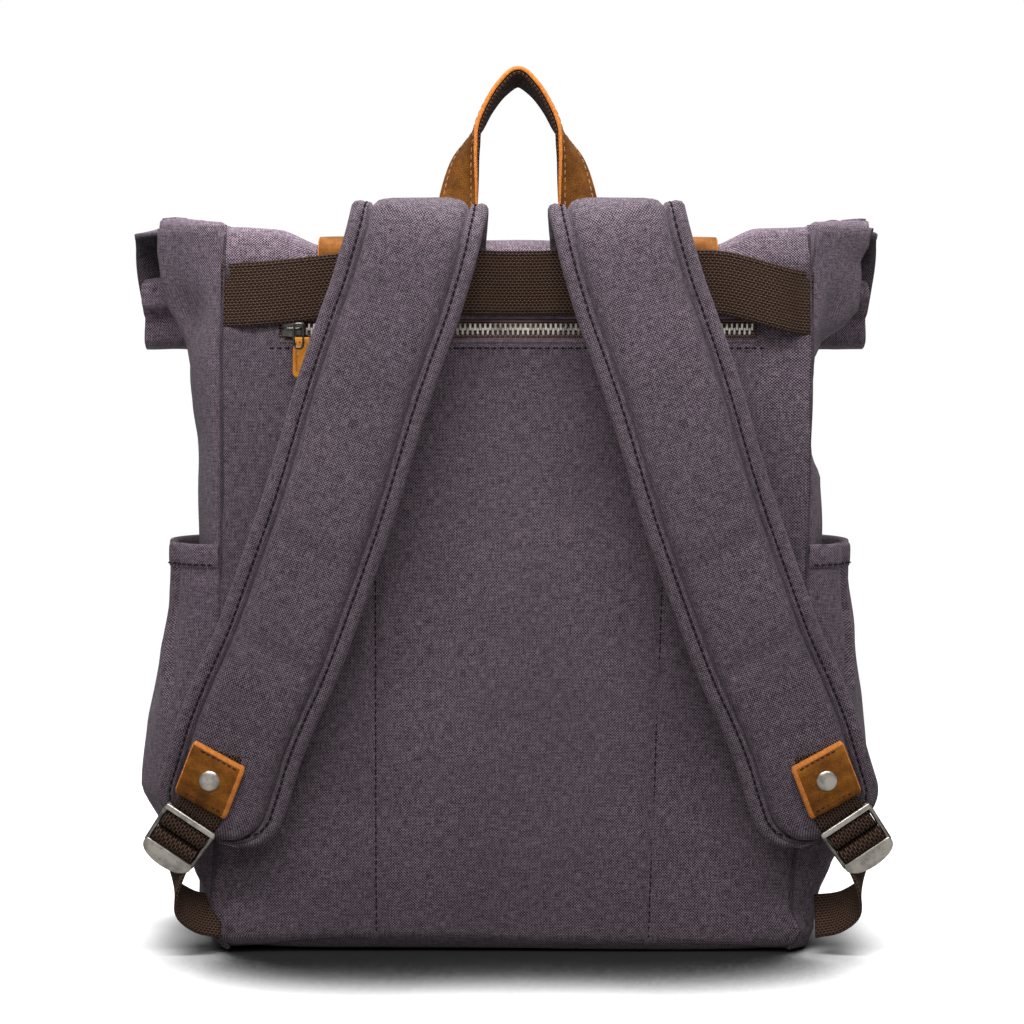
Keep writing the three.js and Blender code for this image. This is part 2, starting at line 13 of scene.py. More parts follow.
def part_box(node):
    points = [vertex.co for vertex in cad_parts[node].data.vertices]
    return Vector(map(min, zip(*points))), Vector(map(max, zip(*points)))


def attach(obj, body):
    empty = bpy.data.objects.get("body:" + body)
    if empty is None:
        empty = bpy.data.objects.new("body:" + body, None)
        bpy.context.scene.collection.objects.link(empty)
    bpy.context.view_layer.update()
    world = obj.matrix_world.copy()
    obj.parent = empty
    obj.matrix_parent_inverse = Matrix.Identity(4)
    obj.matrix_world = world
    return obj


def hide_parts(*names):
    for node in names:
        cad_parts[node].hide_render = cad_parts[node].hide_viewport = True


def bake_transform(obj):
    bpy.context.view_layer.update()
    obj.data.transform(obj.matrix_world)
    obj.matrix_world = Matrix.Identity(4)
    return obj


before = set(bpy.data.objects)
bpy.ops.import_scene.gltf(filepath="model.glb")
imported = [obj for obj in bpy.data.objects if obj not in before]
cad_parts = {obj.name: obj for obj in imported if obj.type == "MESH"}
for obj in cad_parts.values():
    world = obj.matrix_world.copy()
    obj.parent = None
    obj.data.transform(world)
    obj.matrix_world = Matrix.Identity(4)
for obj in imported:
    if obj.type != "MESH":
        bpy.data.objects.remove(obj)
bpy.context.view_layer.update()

MM = 0.001
SIDES = (("left", -1), ("right", 1))
RIGHT = Vector((1, 0, 0))
FORWARD = Vector((0, 1, 0))
REARWARD = Vector((0, -1, 0))
UP = Vector((0, 0, 1))

# -------------------- sizes taken from the frame, in mm


def node_box(node):
    low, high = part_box(node)
    return low / MM, high / MM


REAR_LOW, REAR_HIGH = node_box("rear_panel_lower")
BAND_LOW, BAND_HIGH = node_box("webbing_band")
SLIDER_LOW, SLIDER_HIGH = node_box("zip_slider")
TAB_LOW, TAB_HIGH = node_box("zip_pull_tab")
CLOSURE_LOW, CLOSURE_HIGH = node_box("closure_strap_right")
HEM_LOW, HEM_HIGH = node_box("side_pocket_hem_right")
PATCH_POCKET_LOW, PATCH_POCKET_HIGH = node_box("front_pocket")
HANDLE_FOOT_LOW, HANDLE_FOOT_HIGH = node_box("handle_foot_right")
ZIP_HIGH = node_box("zip_teeth_lower")[1]

HALF_WIDTH = REAR_HIGH.x + 0.5
FRONT_HALF = 163.5
REAR_Y = REAR_LOW.y
FRONT_Y = node_box("front_panel")[1].y
SHOULDER_Z = 262.0
TOP_Z = 403.0
ZIP_Z = (ZIP_HIGH.z + node_box("zip_teeth_upper")[0].z) / 2
ZIP_HALF = ZIP_HIGH.x + 1
STRAP_HALF = 36.0
CLOSURE_X = (CLOSURE_LOW.x + CLOSURE_HIGH.x) / 2
CLOSURE_HALF = (CLOSURE_HIGH.x - CLOSURE_LOW.x) / 2

# Thickness of the body's cloth and of the adjusting webbing
CLOTH = 1.5
WEBBING = 1.8

# Sewing: distance from stitch to stitch, stitch length and thread radius, in mm
BODY_SEWING = (4.2, 3.1, 0.52)
STRAP_SEWING = (4.2, 3.2, 0.62)
LEATHER_SEWING = (4.2, 2.9, 0.42)
PATCH_SEWING = (3.2, 2.4, 0.38)
BAND_SEWING = (3.6, 2.6, 0.4)
PULL_SEWING = (2.4, 1.8, 0.3)

# -------------------- small maths


def lerp(a, b, t):
    return a + (b - a) * t


def clamp(value, low=0.0, high=1.0):
    return max(low, min(high, value))


def smooth(low, high, value):
    t = clamp((value - low) / (high - low))
    return t * t * (3 - 2 * t)


def bump(value, centre, width):
    """A soft hill of height 1 at centre."""
    return math.exp(-(((value - centre) / width) ** 2))


def wobble(x, y, z, size, seed=0.0):
    """Smooth noise between about -1 and 1, with features of the given size in mm."""
    return noise.noise(Vector((x, y, z)) / size + Vector((seed, seed * 1.7, seed * 0.3)))


def full_turn(count):
    """Evenly spaced angles round a circle."""
    return [2 * math.pi * k / count for k in range(count)]


def rounded_loop(half_x, half_y, power, count):
    """Points (x, y) round a rectangle with soft corners; a higher power gives tighter corners."""
    loop = []
    for angle in full_turn(count):
        reach = (abs(math.cos(angle)) ** power + abs(math.sin(angle)) ** power) ** (-1 / power)
        loop.append((half_x * reach * math.cos(angle), half_y * reach * math.sin(angle)))
    return loop


class Path:
    """A smooth line through a few points, sampled by its length."""

    def __init__(self, points, steps=24):
        points = [Vector(p) for p in points]
        ends = [points[0] * 2 - points[1], *points, points[-1] * 2 - points[-2]]
        self.line = []
        for i in range(1, len(ends) - 2):
            for k in range(steps):
                self.line.append(self._curve(ends[i - 1 : i + 3], k / steps))
        self.line.append(points[-1].copy())
        self.lengths = [0.0]
        for a, b in zip(self.line, self.line[1:]):
            self.lengths.append(self.lengths[-1] + (b - a).length)
        self.length = self.lengths[-1]

    @staticmethod
    def _curve(p, t):
        a = (p[2] - p[0]) * 0.5
        b = (p[3] - p[1]) * 0.5
        h = 2 * t**3 - 3 * t**2 + 1
        return p[1] * h + a * (t**3 - 2 * t**2 + t) + p[2] * (1 - h) + b * (t**3 - t**2)

    def at(self, distance):
        distance = clamp(distance, 0.0, self.length)
        low, high = 0, len(self.lengths) - 1
        while high - low > 1:
            middle = (low + high) // 2
            if self.lengths[middle] <= distance:
                low = middle
            else:
                high = middle
        span = self.lengths[high] - self.lengths[low]
        share = (distance - self.lengths[low]) / span if span else 0.0
        return self.line[low].lerp(self.line[high], share)


# -------------------- node materials


class Nodes:
    """A short way to write a material's node tree. Sizes in materials are in metres."""

    def __init__(self, name):
        self.material = bpy.data.materials.new(name)
        self.material.use_nodes = True
        self.tree = self.material.node_tree
        self.shader = self.tree.nodes["Principled BSDF"]

    def add(self, kind, **settings):
        node = self.tree.nodes.new(kind)
        for key, value in settings.items():
            setattr(node, key, value)
        return node

    def link(self, source, target):
        self.tree.links.new(source, target)

    def feed(self, node, values):
        for key, value in values.items():
            if isinstance(value, bpy.types.NodeSocket):
                self.link(value, node.inputs[key])
            else:
                node.inputs[key].default_value = value
        return node

    def maths(self, operation, a, b=0.0):
        node = self.add("ShaderNodeMath", operation=operation)
        self.feed(node, {0: a, 1: b})
        return node.outputs[0]

    def noise(self, vector, scale, detail=2.0, roughness=0.5):
        node = self.add("ShaderNodeTexNoise")
        self.feed(node, {"Vector": vector, "Scale": scale, "Detail": detail, "Roughness": roughness})
        return node.outputs["Fac"]

    def scaled(self, vector, x, y, z=1.0):
        node = self.add("ShaderNodeMapping")
        self.feed(node, {"Vector": vector, "Scale": (x, y, z)})
        return node.outputs[0]

    def ramp(self, value, stops):
        node = self.add("ShaderNodeValToRGB")
        self.feed(node, {0: value})
        elements = node.color_ramp.elements
        while len(elements) < len(stops):
            elements.new(0.5)
        for element, (position, colour) in zip(elements, stops):
            element.position = position
            element.color = (*colour, 1.0) if len(colour) == 3 else colour
        return node.outputs["Color"]

    def span(self, value, low, high, new_low=0.0, new_high=1.0):
        node = self.add("ShaderNodeMapRange")
        self.feed(node, {0: value, 1: low, 2: high, 3: new_low, 4: new_high})
        return node.outputs[0]

    def mix(self, share, a, b, blend="MIX"):
        node = self.add("ShaderNodeMix", data_type="RGBA", blend_type=blend)
        self.feed(node, {0: share, 6: a, 7: b})
        return node.outputs[2]

    def bump(self, height, strength, distance, normal=None):
        node = self.add("ShaderNodeBump")
        self.feed(node, {"Height": height, "Strength": strength, "Distance": distance})
        if normal is not None:
            self.link(normal, node.inputs["Normal"])
        return node.outputs[0]

    def coordinates(self, kind):
        return self.add("ShaderNodeTexCoord").outputs[kind]

    def weighted(self, a, share_a, b, share_b):
        return self.maths("ADD", self.maths("MULTIPLY", a, share_a), self.maths("MULTIPLY", b, share_b))

    def colour(self, value):
        self.link(value, self.shader.inputs["Base Color"])

    def relief(self, height, strength, distance, under=None):
        self.link(self.bump(height, strength, distance, under), self.shader.inputs["Normal"])


def times(colour, gain):
    return tuple(channel * gain for channel in colour)


def rgba(colour, gain=1.0):
    return (*times(colour, gain), 1.0)


def weave(n, vector, pitch):
    """Over-and-under height of a plain weave, 0 to 1, for a vector in metres."""
    node = n.add("ShaderNodeSeparateXYZ")
    n.link(vector, node.inputs[0])
    turn = math.pi / pitch
    warp = n.maths("SINE", n.maths("MULTIPLY", node.outputs[0], turn))
    weft = n.maths("SINE", n.maths("MULTIPLY", node.outputs[1], turn))
    return n.span(n.maths("MULTIPLY", warp, weft), -1.0, 1.0)


def canvas_material(name, colour, pitch=0.00078, coordinates="UV", wear=1.0):
    """Washed duck canvas: plain weave, heathered threads, rubbed highs and a dusty bloom."""
    n = Nodes(name)
    uv = n.coordinates(coordinates)
    place = n.coordinates("Object")
    offset = n.add("ShaderNodeVectorMath", operation="MULTIPLY_ADD")
    n.feed(offset, {0: n.noise(uv, 260.0), 1: (0.0006, 0.0006, 0.0), 2: uv})
    cross = weave(n, offset.outputs[0], pitch)
    slub_warp = n.noise(n.scaled(uv, 1150.0, 170.0), 1.0, 2.0, 0.6)
    slub_weft = n.noise(n.scaled(uv, 170.0, 1150.0), 1.0, 2.0, 0.6)
    threads = n.weighted(slub_warp, 0.5, slub_weft, 0.5)
    grain = n.weighted(cross, 0.35, threads, 0.65)
    heather = n.ramp(grain, [(0.385, times(colour, 0.06)), (0.5, colour), (0.605, times(colour, 3.8))])
    clouds = n.ramp(n.noise(place, 14.0, 4.0, 0.6), [(0.3, (0.86, 0.86, 0.87)), (0.7, (1.1, 1.09, 1.09))])
    shade = n.mix(1.0, heather, clouds, "MULTIPLY")
    rubbed = n.noise(n.scaled(place, 60.0, 60.0, 22.0), 1.0, 5.0, 0.65)
    worn = n.span(rubbed, 0.62, 0.8, 0.0, 0.22 * wear)
    n.colour(n.mix(worn, shade, rgba([channel * 1.5 + 0.02 for channel in colour])))
    n.feed(n.shader, {
        "Roughness": n.span(threads, 0.3, 0.7, 0.98, 0.8), "Specular IOR Level": 0.25,
        "Sheen Weight": 0.05, "Sheen Roughness": 0.6, "Sheen Tint": (0.8, 0.74, 0.8, 1.0),
    })
    n.relief(n.noise(place, 90.0, 3.0), 0.25, 0.002, n.bump(grain, 0.75, 0.0007))
    return n.material


def webbing_material(name, colour, rib=0.0022):
    """Heavy ribbed webbing: cross ribs and a two-up weave, coloured dark in the weave's lows and bright on
    its highs, which are painted shade and painted highlight, with a random lighter fuzz.
    """
    n = Nodes(name)
    uv = n.coordinates("UV")
    split = n.add("ShaderNodeSeparateXYZ")
    n.link(uv, split.inputs[0])
    across = n.maths("MULTIPLY", split.outputs[0], math.pi / 0.0016)
    along = n.maths("MULTIPLY", split.outputs[1], 2 * math.pi / rib)
    phase = n.maths("ROUND", n.maths("DIVIDE", across, math.pi))
    wave = n.maths("SINE", n.maths("ADD", along, n.maths("MULTIPLY", phase, math.pi)))
    tooth = n.maths("ABSOLUTE", n.maths("SINE", across))
    height = n.maths("MULTIPLY", n.span(wave, -1.0, 1.0, 0.25, 1.0), n.span(tooth, 0.0, 1.0, 0.3, 1.0))
    fuzz = n.noise(uv, 1300.0, 3.0, 0.7)
    tone = n.weighted(height, 0.7, fuzz, 0.4)
    # The colour follows the weave's height: painted shade in its lows and a painted highlight on its highs,
    # mixed with a random lighter fuzz.
    high = [channel * 8.0 + 0.02 for channel in colour]
    n.colour(n.ramp(tone, [(0.25, times(colour, 0.25)), (0.62, times(colour, 1.2)), (1.0, high)]))
    n.feed(n.shader, {"Roughness": 0.92, "Specular IOR Level": 0.12})
    n.relief(tone, 0.9, 0.0009)
    return n.material


def leather_material(name, colour, dark, light):
    """Oiled pull-up leather: pebble grain, cloudy colour and pale scuffs."""
    n = Nodes(name)
    place = n.coordinates("Object")
    cells = n.add("ShaderNodeTexVoronoi", feature="DISTANCE_TO_EDGE")
    n.feed(cells, {"Vector": place, "Scale": 900.0})
    pores = n.span(cells.outputs["Distance"], 0.0, 0.25)
    cloud = n.noise(place, 55.0, 5.0, 0.65)
    scuff = n.noise(n.scaled(place, 420.0, 160.0, 240.0), 1.0, 4.0, 0.7)
    base = n.ramp(cloud, [(0.3, dark), (0.5, colour), (0.72, light)])
    scuffed = n.mix(n.span(scuff, 0.58, 0.75, 0.0, 0.4), base, rgba(light, 1.25))
    n.colour(n.mix(n.span(pores, 0.0, 0.5, 0.45, 0.0), scuffed, rgba(dark, 0.7)))
    n.feed(n.shader, {"Roughness": n.span(cloud, 0.3, 0.7, 0.8, 0.6), "Specular IOR Level": 0.1})
    n.relief(n.weighted(pores, 0.5, scuff, 0.4), 0.5, 0.0004)
    return n.material


def edge_material(name, colour):
    """Raw cut edge of leather: fibrous and bright."""
    n = Nodes(name)
    fibre = n.noise(n.scaled(n.coordinates("Object"), 900.0, 900.0, 900.0), 1.0, 4.0, 0.75)
    bright = [min(1.0, channel * 1.5) for channel in colour]
    n.colour(n.ramp(fibre, [(0.3, times(colour, 0.45)), (0.6, colour), (0.8, bright)]))
    n.feed(n.shader, {"Roughness": 0.85})
    n.relief(fibre, 0.7, 0.0006)
    return n.material


def metal_material(name, colour, roughness, patina):
    """Antique plated metal: fine brushing with a darker patina in cloudy patches."""
    n = Nodes(name)
    place = n.coordinates("Object")
    brush = n.noise(n.scaled(place, 4000.0, 500.0, 700.0), 1.0, 3.0, 0.7)
    cloud = n.noise(place, 160.0, 4.0, 0.65)
    n.colour(n.ramp(cloud, [(0.32, times(colour, patina)), (0.58, colour)]))
    rough = n.span(brush, 0.3, 0.7, roughness - 0.1, roughness + 0.12)
    n.feed(n.shader, {"Metallic": 1.0, "Roughness": rough})
    n.relief(brush, 0.12, 0.0002)
    return n.material


def thread_material(name, colour):
    """Waxed sewing thread, twisted."""
    n = Nodes(name)
    twist = n.noise(n.coordinates("Object"), 2600.0)
    n.colour(n.ramp(twist, [(0.35, times(colour, 0.5)), (0.65, times(colour, 1.4))]))
    n.feed(n.shader, {"Roughness": 0.9, "Specular IOR Level": 0.1})
    n.relief(twist, 0.5, 0.0003)
    return n.material


def foam_material(name, colour):
    """Cut foam or pressed board: small open cells."""
    n = Nodes(name)
    cells = n.noise(n.coordinates("Object"), 1400.0, 3.0, 0.8)
    n.colour(n.ramp(cells, [(0.35, times(colour, 0.6)), (0.65, times(colour, 1.3))]))
    n.feed(n.shader, {"Roughness": 0.95})
    n.relief(cells, 0.6, 0.0005)
    return n.material


MAUVE = (0.0430, 0.0315, 0.0402)
BROWN = (0.0175, 0.0090, 0.0055)
TAN = (0.135, 0.045, 0.0045)
CANVAS = canvas_material("canvas", MAUVE)
# A lighter copy of the same canvas for the top fold: painted light, where light from above falls on the top.
CANVAS_TOP_PAINTED_LIGHT = canvas_material("canvas_top_painted_light", times(MAUVE, 1.35))
# A darker copy of the same canvas for the carrying side and the shoulder straps: painted shade, so that they
# fall darker than the top and the gussets.
CANVAS_REAR_PAINTED_SHADE = canvas_material("canvas_rear", times(MAUVE, 0.77))
# A much darker copy of the canvas for the backs of the cloth, the whole bottom tray and the rear seams:
# painted shade inside the bag, under it and along the seams.
CANVAS_BACK_PAINTED_SHADE = canvas_material("canvas_backing_painted_shade", times(MAUVE, 0.4))
LINING = canvas_material("lining_cloth", (0.23, 0.185, 0.14), 0.0008, "Object", 0.3)
WEB = webbing_material("webbing", BROWN)
TAPE = webbing_material("zip_tape", (0.075, 0.045, 0.045), 0.0012)
LEATHER = leather_material("leather", TAN, (0.05, 0.016, 0.0025), (0.23, 0.085, 0.009))
HANDLE_LEATHER = leather_material(
    "handle_leather", times(TAN, 0.6), (0.034, 0.011, 0.0018), (0.15, 0.055, 0.006)
)
LEATHER_EDGE = edge_material("leather_edge", (0.42, 0.125, 0.008))
STEEL = metal_material("buckle_metal", (0.26, 0.235, 0.205), 0.32, 0.3)
SATIN = metal_material("satin_metal", (0.44, 0.405, 0.36), 0.38, 0.5)
NICKEL = metal_material("zip_metal", (0.80, 0.76, 0.68), 0.28, 0.3)
GUNMETAL = metal_material("slider_metal", (0.12, 0.115, 0.105), 0.25, 0.3)
PULL_LEATHER = leather_material(
    "pull_leather", (0.34, 0.13, 0.012), (0.20, 0.065, 0.006), (0.5, 0.22, 0.03)
)
THREAD = thread_material("thread", (0.009, 0.0065, 0.0085))
TAN_THREAD = thread_material("tan_thread", (0.20, 0.10, 0.045))
FOAM = foam_material("foam", (0.035, 0.035, 0.037))
BOARD = foam_material("board", (0.06, 0.05, 0.042))

# -------------------- mesh building


def make_mesh(name, points, faces, materials, uvs=None, slots=None, smooth_shade=True):
    """An object from points in mm. uvs holds one (u, v) in mm for each corner, face by face."""
    mesh = bpy.data.meshes.new(name)
    mesh.from_pydata([Vector(p) * MM for p in points], [], faces)
    for material in materials:
        mesh.materials.append(material)
    if uvs is not None:
        layer = mesh.uv_layers.new(name="UVMap")
        flat = [value * MM for corner in uvs for value in corner]
        layer.data.foreach_set("uv", flat)
    if slots is not None:
        mesh.polygons.foreach_set("material_index", slots)
    if smooth_shade:
        mesh.polygons.foreach_set("use_smooth", [True] * len(mesh.polygons))
    mesh.update()
    obj = bpy.data.objects.new(name, mesh)
    bpy.context.scene.collection.objects.link(obj)
    return obj


def grid(name, rows, materials, keep=None, closed=False, slots=None):
    """A sheet through rows of points, with its UVs measured along its rows and columns in mm."""
    height, width = len(rows), len(rows[0])
    row_v = [0.0]
    middle = width // 2
    for a, b in zip(rows, rows[1:]):
        row_v.append(row_v[-1] + (b[middle] - a[middle]).length)
    widest = max(rows, key=lambda row: sum((q - p).length for p, q in zip(row, row[1:])))
    column_u = [0.0]
    for p, q in zip(widest, widest[1:]):
        column_u.append(column_u[-1] + (q - p).length)
    column_u.append(column_u[-1] + (widest[0] - widest[-1]).length)
    faces, uvs, indices = [], [], []
    for i in range(height - 1):
        for j in range(width if closed else width - 1):
            if keep is not None and not keep(i, j):
                continue
            k = (j + 1) % width
            faces.append((i * width + j, i * width + k, (i + 1) * width + k, (i + 1) * width + j))
            u0, u1, v0, v1 = column_u[j], column_u[j + 1], row_v[i], row_v[i + 1]
            uvs += [(u0, v0), (u1, v0), (u1, v1), (u0, v1)]
            if slots is not None:
                indices.append(slots(i, j))
    points = [p for row in rows for p in row]
    return make_mesh(name, points, faces, materials, uvs, indices if slots is not None else None)


def thicken(obj, thickness, offset=-1.0, rim=None):
    """Gives a sheet its cloth thickness, in mm; offset -1 grows it behind the sheet."""
    modifier = obj.modifiers.new("thickness", "SOLIDIFY")
    modifier.thickness = thickness * MM
    modifier.offset = offset
    modifier.use_even_offset = False
    modifier.use_quality_normals = True
    modifier.material_offset = 1
    if rim is not None:
        modifier.material_offset_rim = rim
    return obj


def bevel(obj, width, segments=2):
    modifier = obj.modifiers.new("rounding", "BEVEL")
    modifier.width = width * MM
    modifier.segments = segments
    modifier.limit_method = "ANGLE"
    return obj


def subdivide(obj, levels=1):
    modifier = obj.modifiers.new("subdivision", "SUBSURF")
    modifier.levels = levels
    modifier.render_levels = levels
    return obj


def settle(obj):
    """Applies every modifier."""
    graph = bpy.context.evaluated_depsgraph_get()
    mesh = bpy.data.meshes.new_from_object(obj.evaluated_get(graph))
    obj.modifiers.clear()
    obj.data = mesh
    return obj


def finish(obj, body, slot, *nodes):
    """The piece rides on a body and stands for CAD nodes, which it hides; slot is not used."""
    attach(obj, body)
    if nodes:
        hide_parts(*nodes)
    return obj


MODIFIER_SETTINGS = (
    "thickness", "offset", "use_even_offset", "use_quality_normals", "material_offset_rim",
    "material_offset", "width", "segments", "limit_method", "levels", "render_levels",
)


def mirrored(obj, name):
    """A mirror image of a left piece, for the right side."""
    copy = bpy.data.objects.new(name, obj.data.copy())
    copy.data.transform(Matrix.Diagonal((-1, 1, 1, 1)))
    copy.data.flip_normals()
    for modifier in obj.modifiers:
        twin = copy.modifiers.new(modifier.name, modifier.type)
        for key in MODIFIER_SETTINGS:
            if hasattr(modifier, key):
                setattr(twin, key, getattr(modifier, key))
    bpy.context.scene.collection.objects.link(copy)
    return copy


def ribbon(name, stations, half_width, thickness, materials, edge_slot=1, crown=0.0, columns=10,
           raw=(), raw_rows=()):
    """A strap with rounded edges. A station is (centre, across, out); its outer face is at the centre.

    raw and raw_rows are the columns and rows that show the cut edge's material.
    """
    profile = []
    for k in range(columns + 1):
        u = lerp(-1.0, 1.0, k / columns)
        profile.append((u, crown * (1 - u * u), 0))
    edge = []
    for k in range(1, 4):
        angle = math.pi * k / 4
        edge.append((1.0, -thickness / 2 + thickness / 2 * math.cos(angle), math.sin(angle)))
    profile += edge
    for k in range(columns + 1):
        u = lerp(1.0, -1.0, k / columns)
        profile.append((u, -thickness, 0))
    profile += [(-1.0, -thickness - depth, push) for _, depth, push in edge]
    count = len(profile)
    is_edge = [columns <= k < columns + 4 or k >= 2 * columns + 4 or k in raw for k in range(count)]
    rows = []
    for index, (centre, across, out) in enumerate(stations):
        half = half_width(index / (len(stations) - 1)) if callable(half_width) else half_width
        rows.append([
            centre + across * (u * half + (1 if u > 0 else -1) * push * thickness * 0.3) + out * depth
            for u, depth, push in profile
        ])
    slots = lambda i, j: edge_slot if is_edge[j] or i in raw_rows else 0
    obj = grid(name, rows, materials, closed=True, slots=slots)
    cap_ends(obj, count, len(rows), edge_slot)
    return obj


def cap_ends(obj, count, rows, slot):
    """Closes both ends of a lofted tube."""
    bm = bmesh.new()
    bm.from_mesh(obj.data)
    bm.verts.ensure_lookup_table()
    first = bm.faces.new([bm.verts[k] for k in reversed(range(count))])
    last = bm.faces.new([bm.verts[(rows - 1) * count + k] for k in range(count)])
    first.material_index = slot
    last.material_index = slot
    bm.to_mesh(obj.data)
    bm.free()


def stitch_mesh(name, runs, sewing, material):
    """Runs of sewn stitches. A run is a list of (point, outward) pairs close together."""
    pitch, length, radius = sewing
    points, faces = [], []
    ring = 6
    shape = [(-0.5, 0.35), (-0.3, 0.9), (0.0, 1.0), (0.3, 0.9), (0.5, 0.35)]
    for run in runs:
        travelled = pitch / 2
        for (a, out_a), (b, _) in zip(run, run[1:]):
            step = (b - a).length
            if step < 1e-6:
                continue
            direction = (b - a) / step
            while travelled <= step:
                centre = a + direction * travelled
                out = (out_a - direction * out_a.dot(direction)).normalized()
                side = direction.cross(out)
                base = len(points)
                for along, share in shape:
                    for k in range(ring):
                        angle = 2 * math.pi * k / ring
                        offset = side * math.cos(angle) + out * (math.sin(angle) * 0.75)
                        points.append(centre + direction * (along * length) + offset * radius * share)
                for row in range(len(shape) - 1):
                    for k in range(ring):
                        a0, a1 = base + row * ring + k, base + row * ring + (k + 1) % ring
                        faces.append((a0, a1, a1 + ring, a0 + ring))
                faces.append(tuple(base + k for k in reversed(range(ring))))
                faces.append(tuple(base + (len(shape) - 1) * ring + k for k in range(ring)))
                travelled += pitch
            travelled -= step
    return make_mesh(name, points, faces, [material])


def outward(obj):
    """Turns a closed piece's faces out."""
    bm = bmesh.new()
    bm.from_mesh(obj.data)
    if bm.calc_volume(signed=True) < 0:
        bmesh.ops.reverse_faces(bm, faces=bm.faces)
    bm.to_mesh(obj.data)
    bm.free()
    return obj


def tube(name, points, radius, materials, sides=10, closed=False):
    """A round bar along points, in mm. radius may be a function of the share along it."""
    points = [Vector(p) for p in points]
    count = len(points)
    rows = []
    side = None
    for i, point in enumerate(points):
        before = points[i - 1] if i or closed else points[i]
        after = points[(i + 1) % count] if i < count - 1 or closed else points[i]
        direction = (after - before).normalized()
        if side is None:
            side = direction.orthogonal().normalized()
        side = (side - direction * side.dot(direction)).normalized()
        up = direction.cross(side)
        r = radius(i / (count - 1)) if callable(radius) else radius
        rows.append([point + (side * math.cos(a) + up * math.sin(a)) * r for a in full_turn(sides)])
    if closed:
        rows.append([p.copy() for p in rows[0]])
    obj = grid(name, rows, materials, closed=True)
    if not closed:
        cap_ends(obj, sides, len(rows), 0)
    return outward(obj)


def plate(name, shape, thickness, place, materials, rounding=0.4):
    """A flat piece: a list of (x, y) in its own plane, thickness along its z, set by the matrix place."""
    low = [place @ Vector((x, y, -thickness / 2)) for x, y in shape]
    high = [place @ Vector((x, y, thickness / 2)) for x, y in shape]
    count = len(shape)
    faces = [tuple(reversed(range(count))), tuple(range(count, 2 * count))]
    for k in range(count):
        j = (k + 1) % count
        faces.append((k, j, count + j, count + k))
    obj = outward(make_mesh(name, low + high, faces, materials))
    bevel(obj, rounding, 3)
    return obj


def lathe(name, profile, place, materials, sides=32):
    """A turned piece: (radius, height) pairs, set by the matrix place with its axis along z."""
    rows = []
    for radius, height in profile:
        rows.append([
            place @ Vector((radius * math.cos(a), radius * math.sin(a), height)) for a in full_turn(sides)
        ])
    obj = grid(name, rows, materials, closed=True)
    cap_ends(obj, sides, len(rows), 0)
    return outward(obj)


def join(name, pieces):
    """Several meshes made into one piece, with their modifiers applied."""
    for piece in pieces:
        settle(piece)
    with bpy.context.temp_override(active_object=pieces[0], selected_editable_objects=pieces):
        bpy.ops.object.join()
    pieces[0].name = name
    pieces[0].data.name = name
    return pieces[0]


def knots(value, pairs):
    """A smooth value through (place, value) pairs."""
    if value <= pairs[0][0]:
        return pairs[0][1]
    for (a, va), (b, vb) in zip(pairs, pairs[1:]):
        if value <= b:
            return lerp(va, vb, smooth(a, b, value) * 0.5 + (value - a) / (b - a) * 0.5)
    return pairs[-1][1]


def frange(low, high, step):
    """Even places from low to high, about one step apart; high is the larger."""
    count = max(1, round((high - low) / step))
    return [lerp(low, high, k / count) for k in range(count + 1)]


# -------------------- body of the bag

# Distance of the upright rear seams from the middle, by height, at the left (-1) and at the right (1)
REAR_SEAM = {
    -1: [(0, 160), (9, 168), (26, 170.5), (60, 167), (150, 164.5), (262, 163), (335, 162.5), (405, 160)],
    1: [(0, 150), (11, 156), (23, 151), (38, 152), (66, 154), (150, 157), (262, 160), (335, 161.5),
        (405, 159)],
}
# How far each gusset bows out between its seams, by height
GUSSET_BOW = {
    -1: [(0, 12), (20, 15), (110, 18), (232, 19), (262, 19.5), (285, 17.5), (305, 18.5), (322, 21),
         (335, 24.5), (347, 30), (359, 34.5), (372, 38), (388, 41), (404, 41)],
    1: [(0, 12), (20, 15), (110, 17), (232, 14), (262, 11), (275, 4), (288, 1.2), (308, 0.6), (327, 2.4),
        (338, 9), (348, 24), (357, 31), (383, 31), (392, 36), (404, 38)],
}
# Height of the fold's top, by distance from the middle
TOP_LINE = [
    (0, 394), (80, 393), (106, 389.5), (131, 399.5), (162, 400.5), (163.5, 403.5), (194, 407), (206, 406),
    (228, 402),
]
# Half the height of the zip's slot
ZIP_GAP = 7.0
# Foot of each upright seam on the rear panel, and how far it leans out by a height of 250 mm
UPRIGHT_SEAMS = ((-78.5, 0.0), (72.0, 9.0))


def seam_x(side, z):
    return side * knots(z, REAR_SEAM[side])


def sag(x, z):
    """How far the rolled top hangs below its straight line at a place."""
    return (knots(abs(x), TOP_LINE) - TOP_Z) * smooth(345, 400, z)


def upright_seam_x(k, z):
    foot, lean = UPRIGHT_SEAMS[k]
    return foot + lean * clamp(z / 250) * (1 if foot > 0 else 0.4)


def rear_lift(x):
    """How far the lower edge of the carrying side is drawn up, most a little left of the middle."""
    return 4.0 * bump(x, -70, 85)


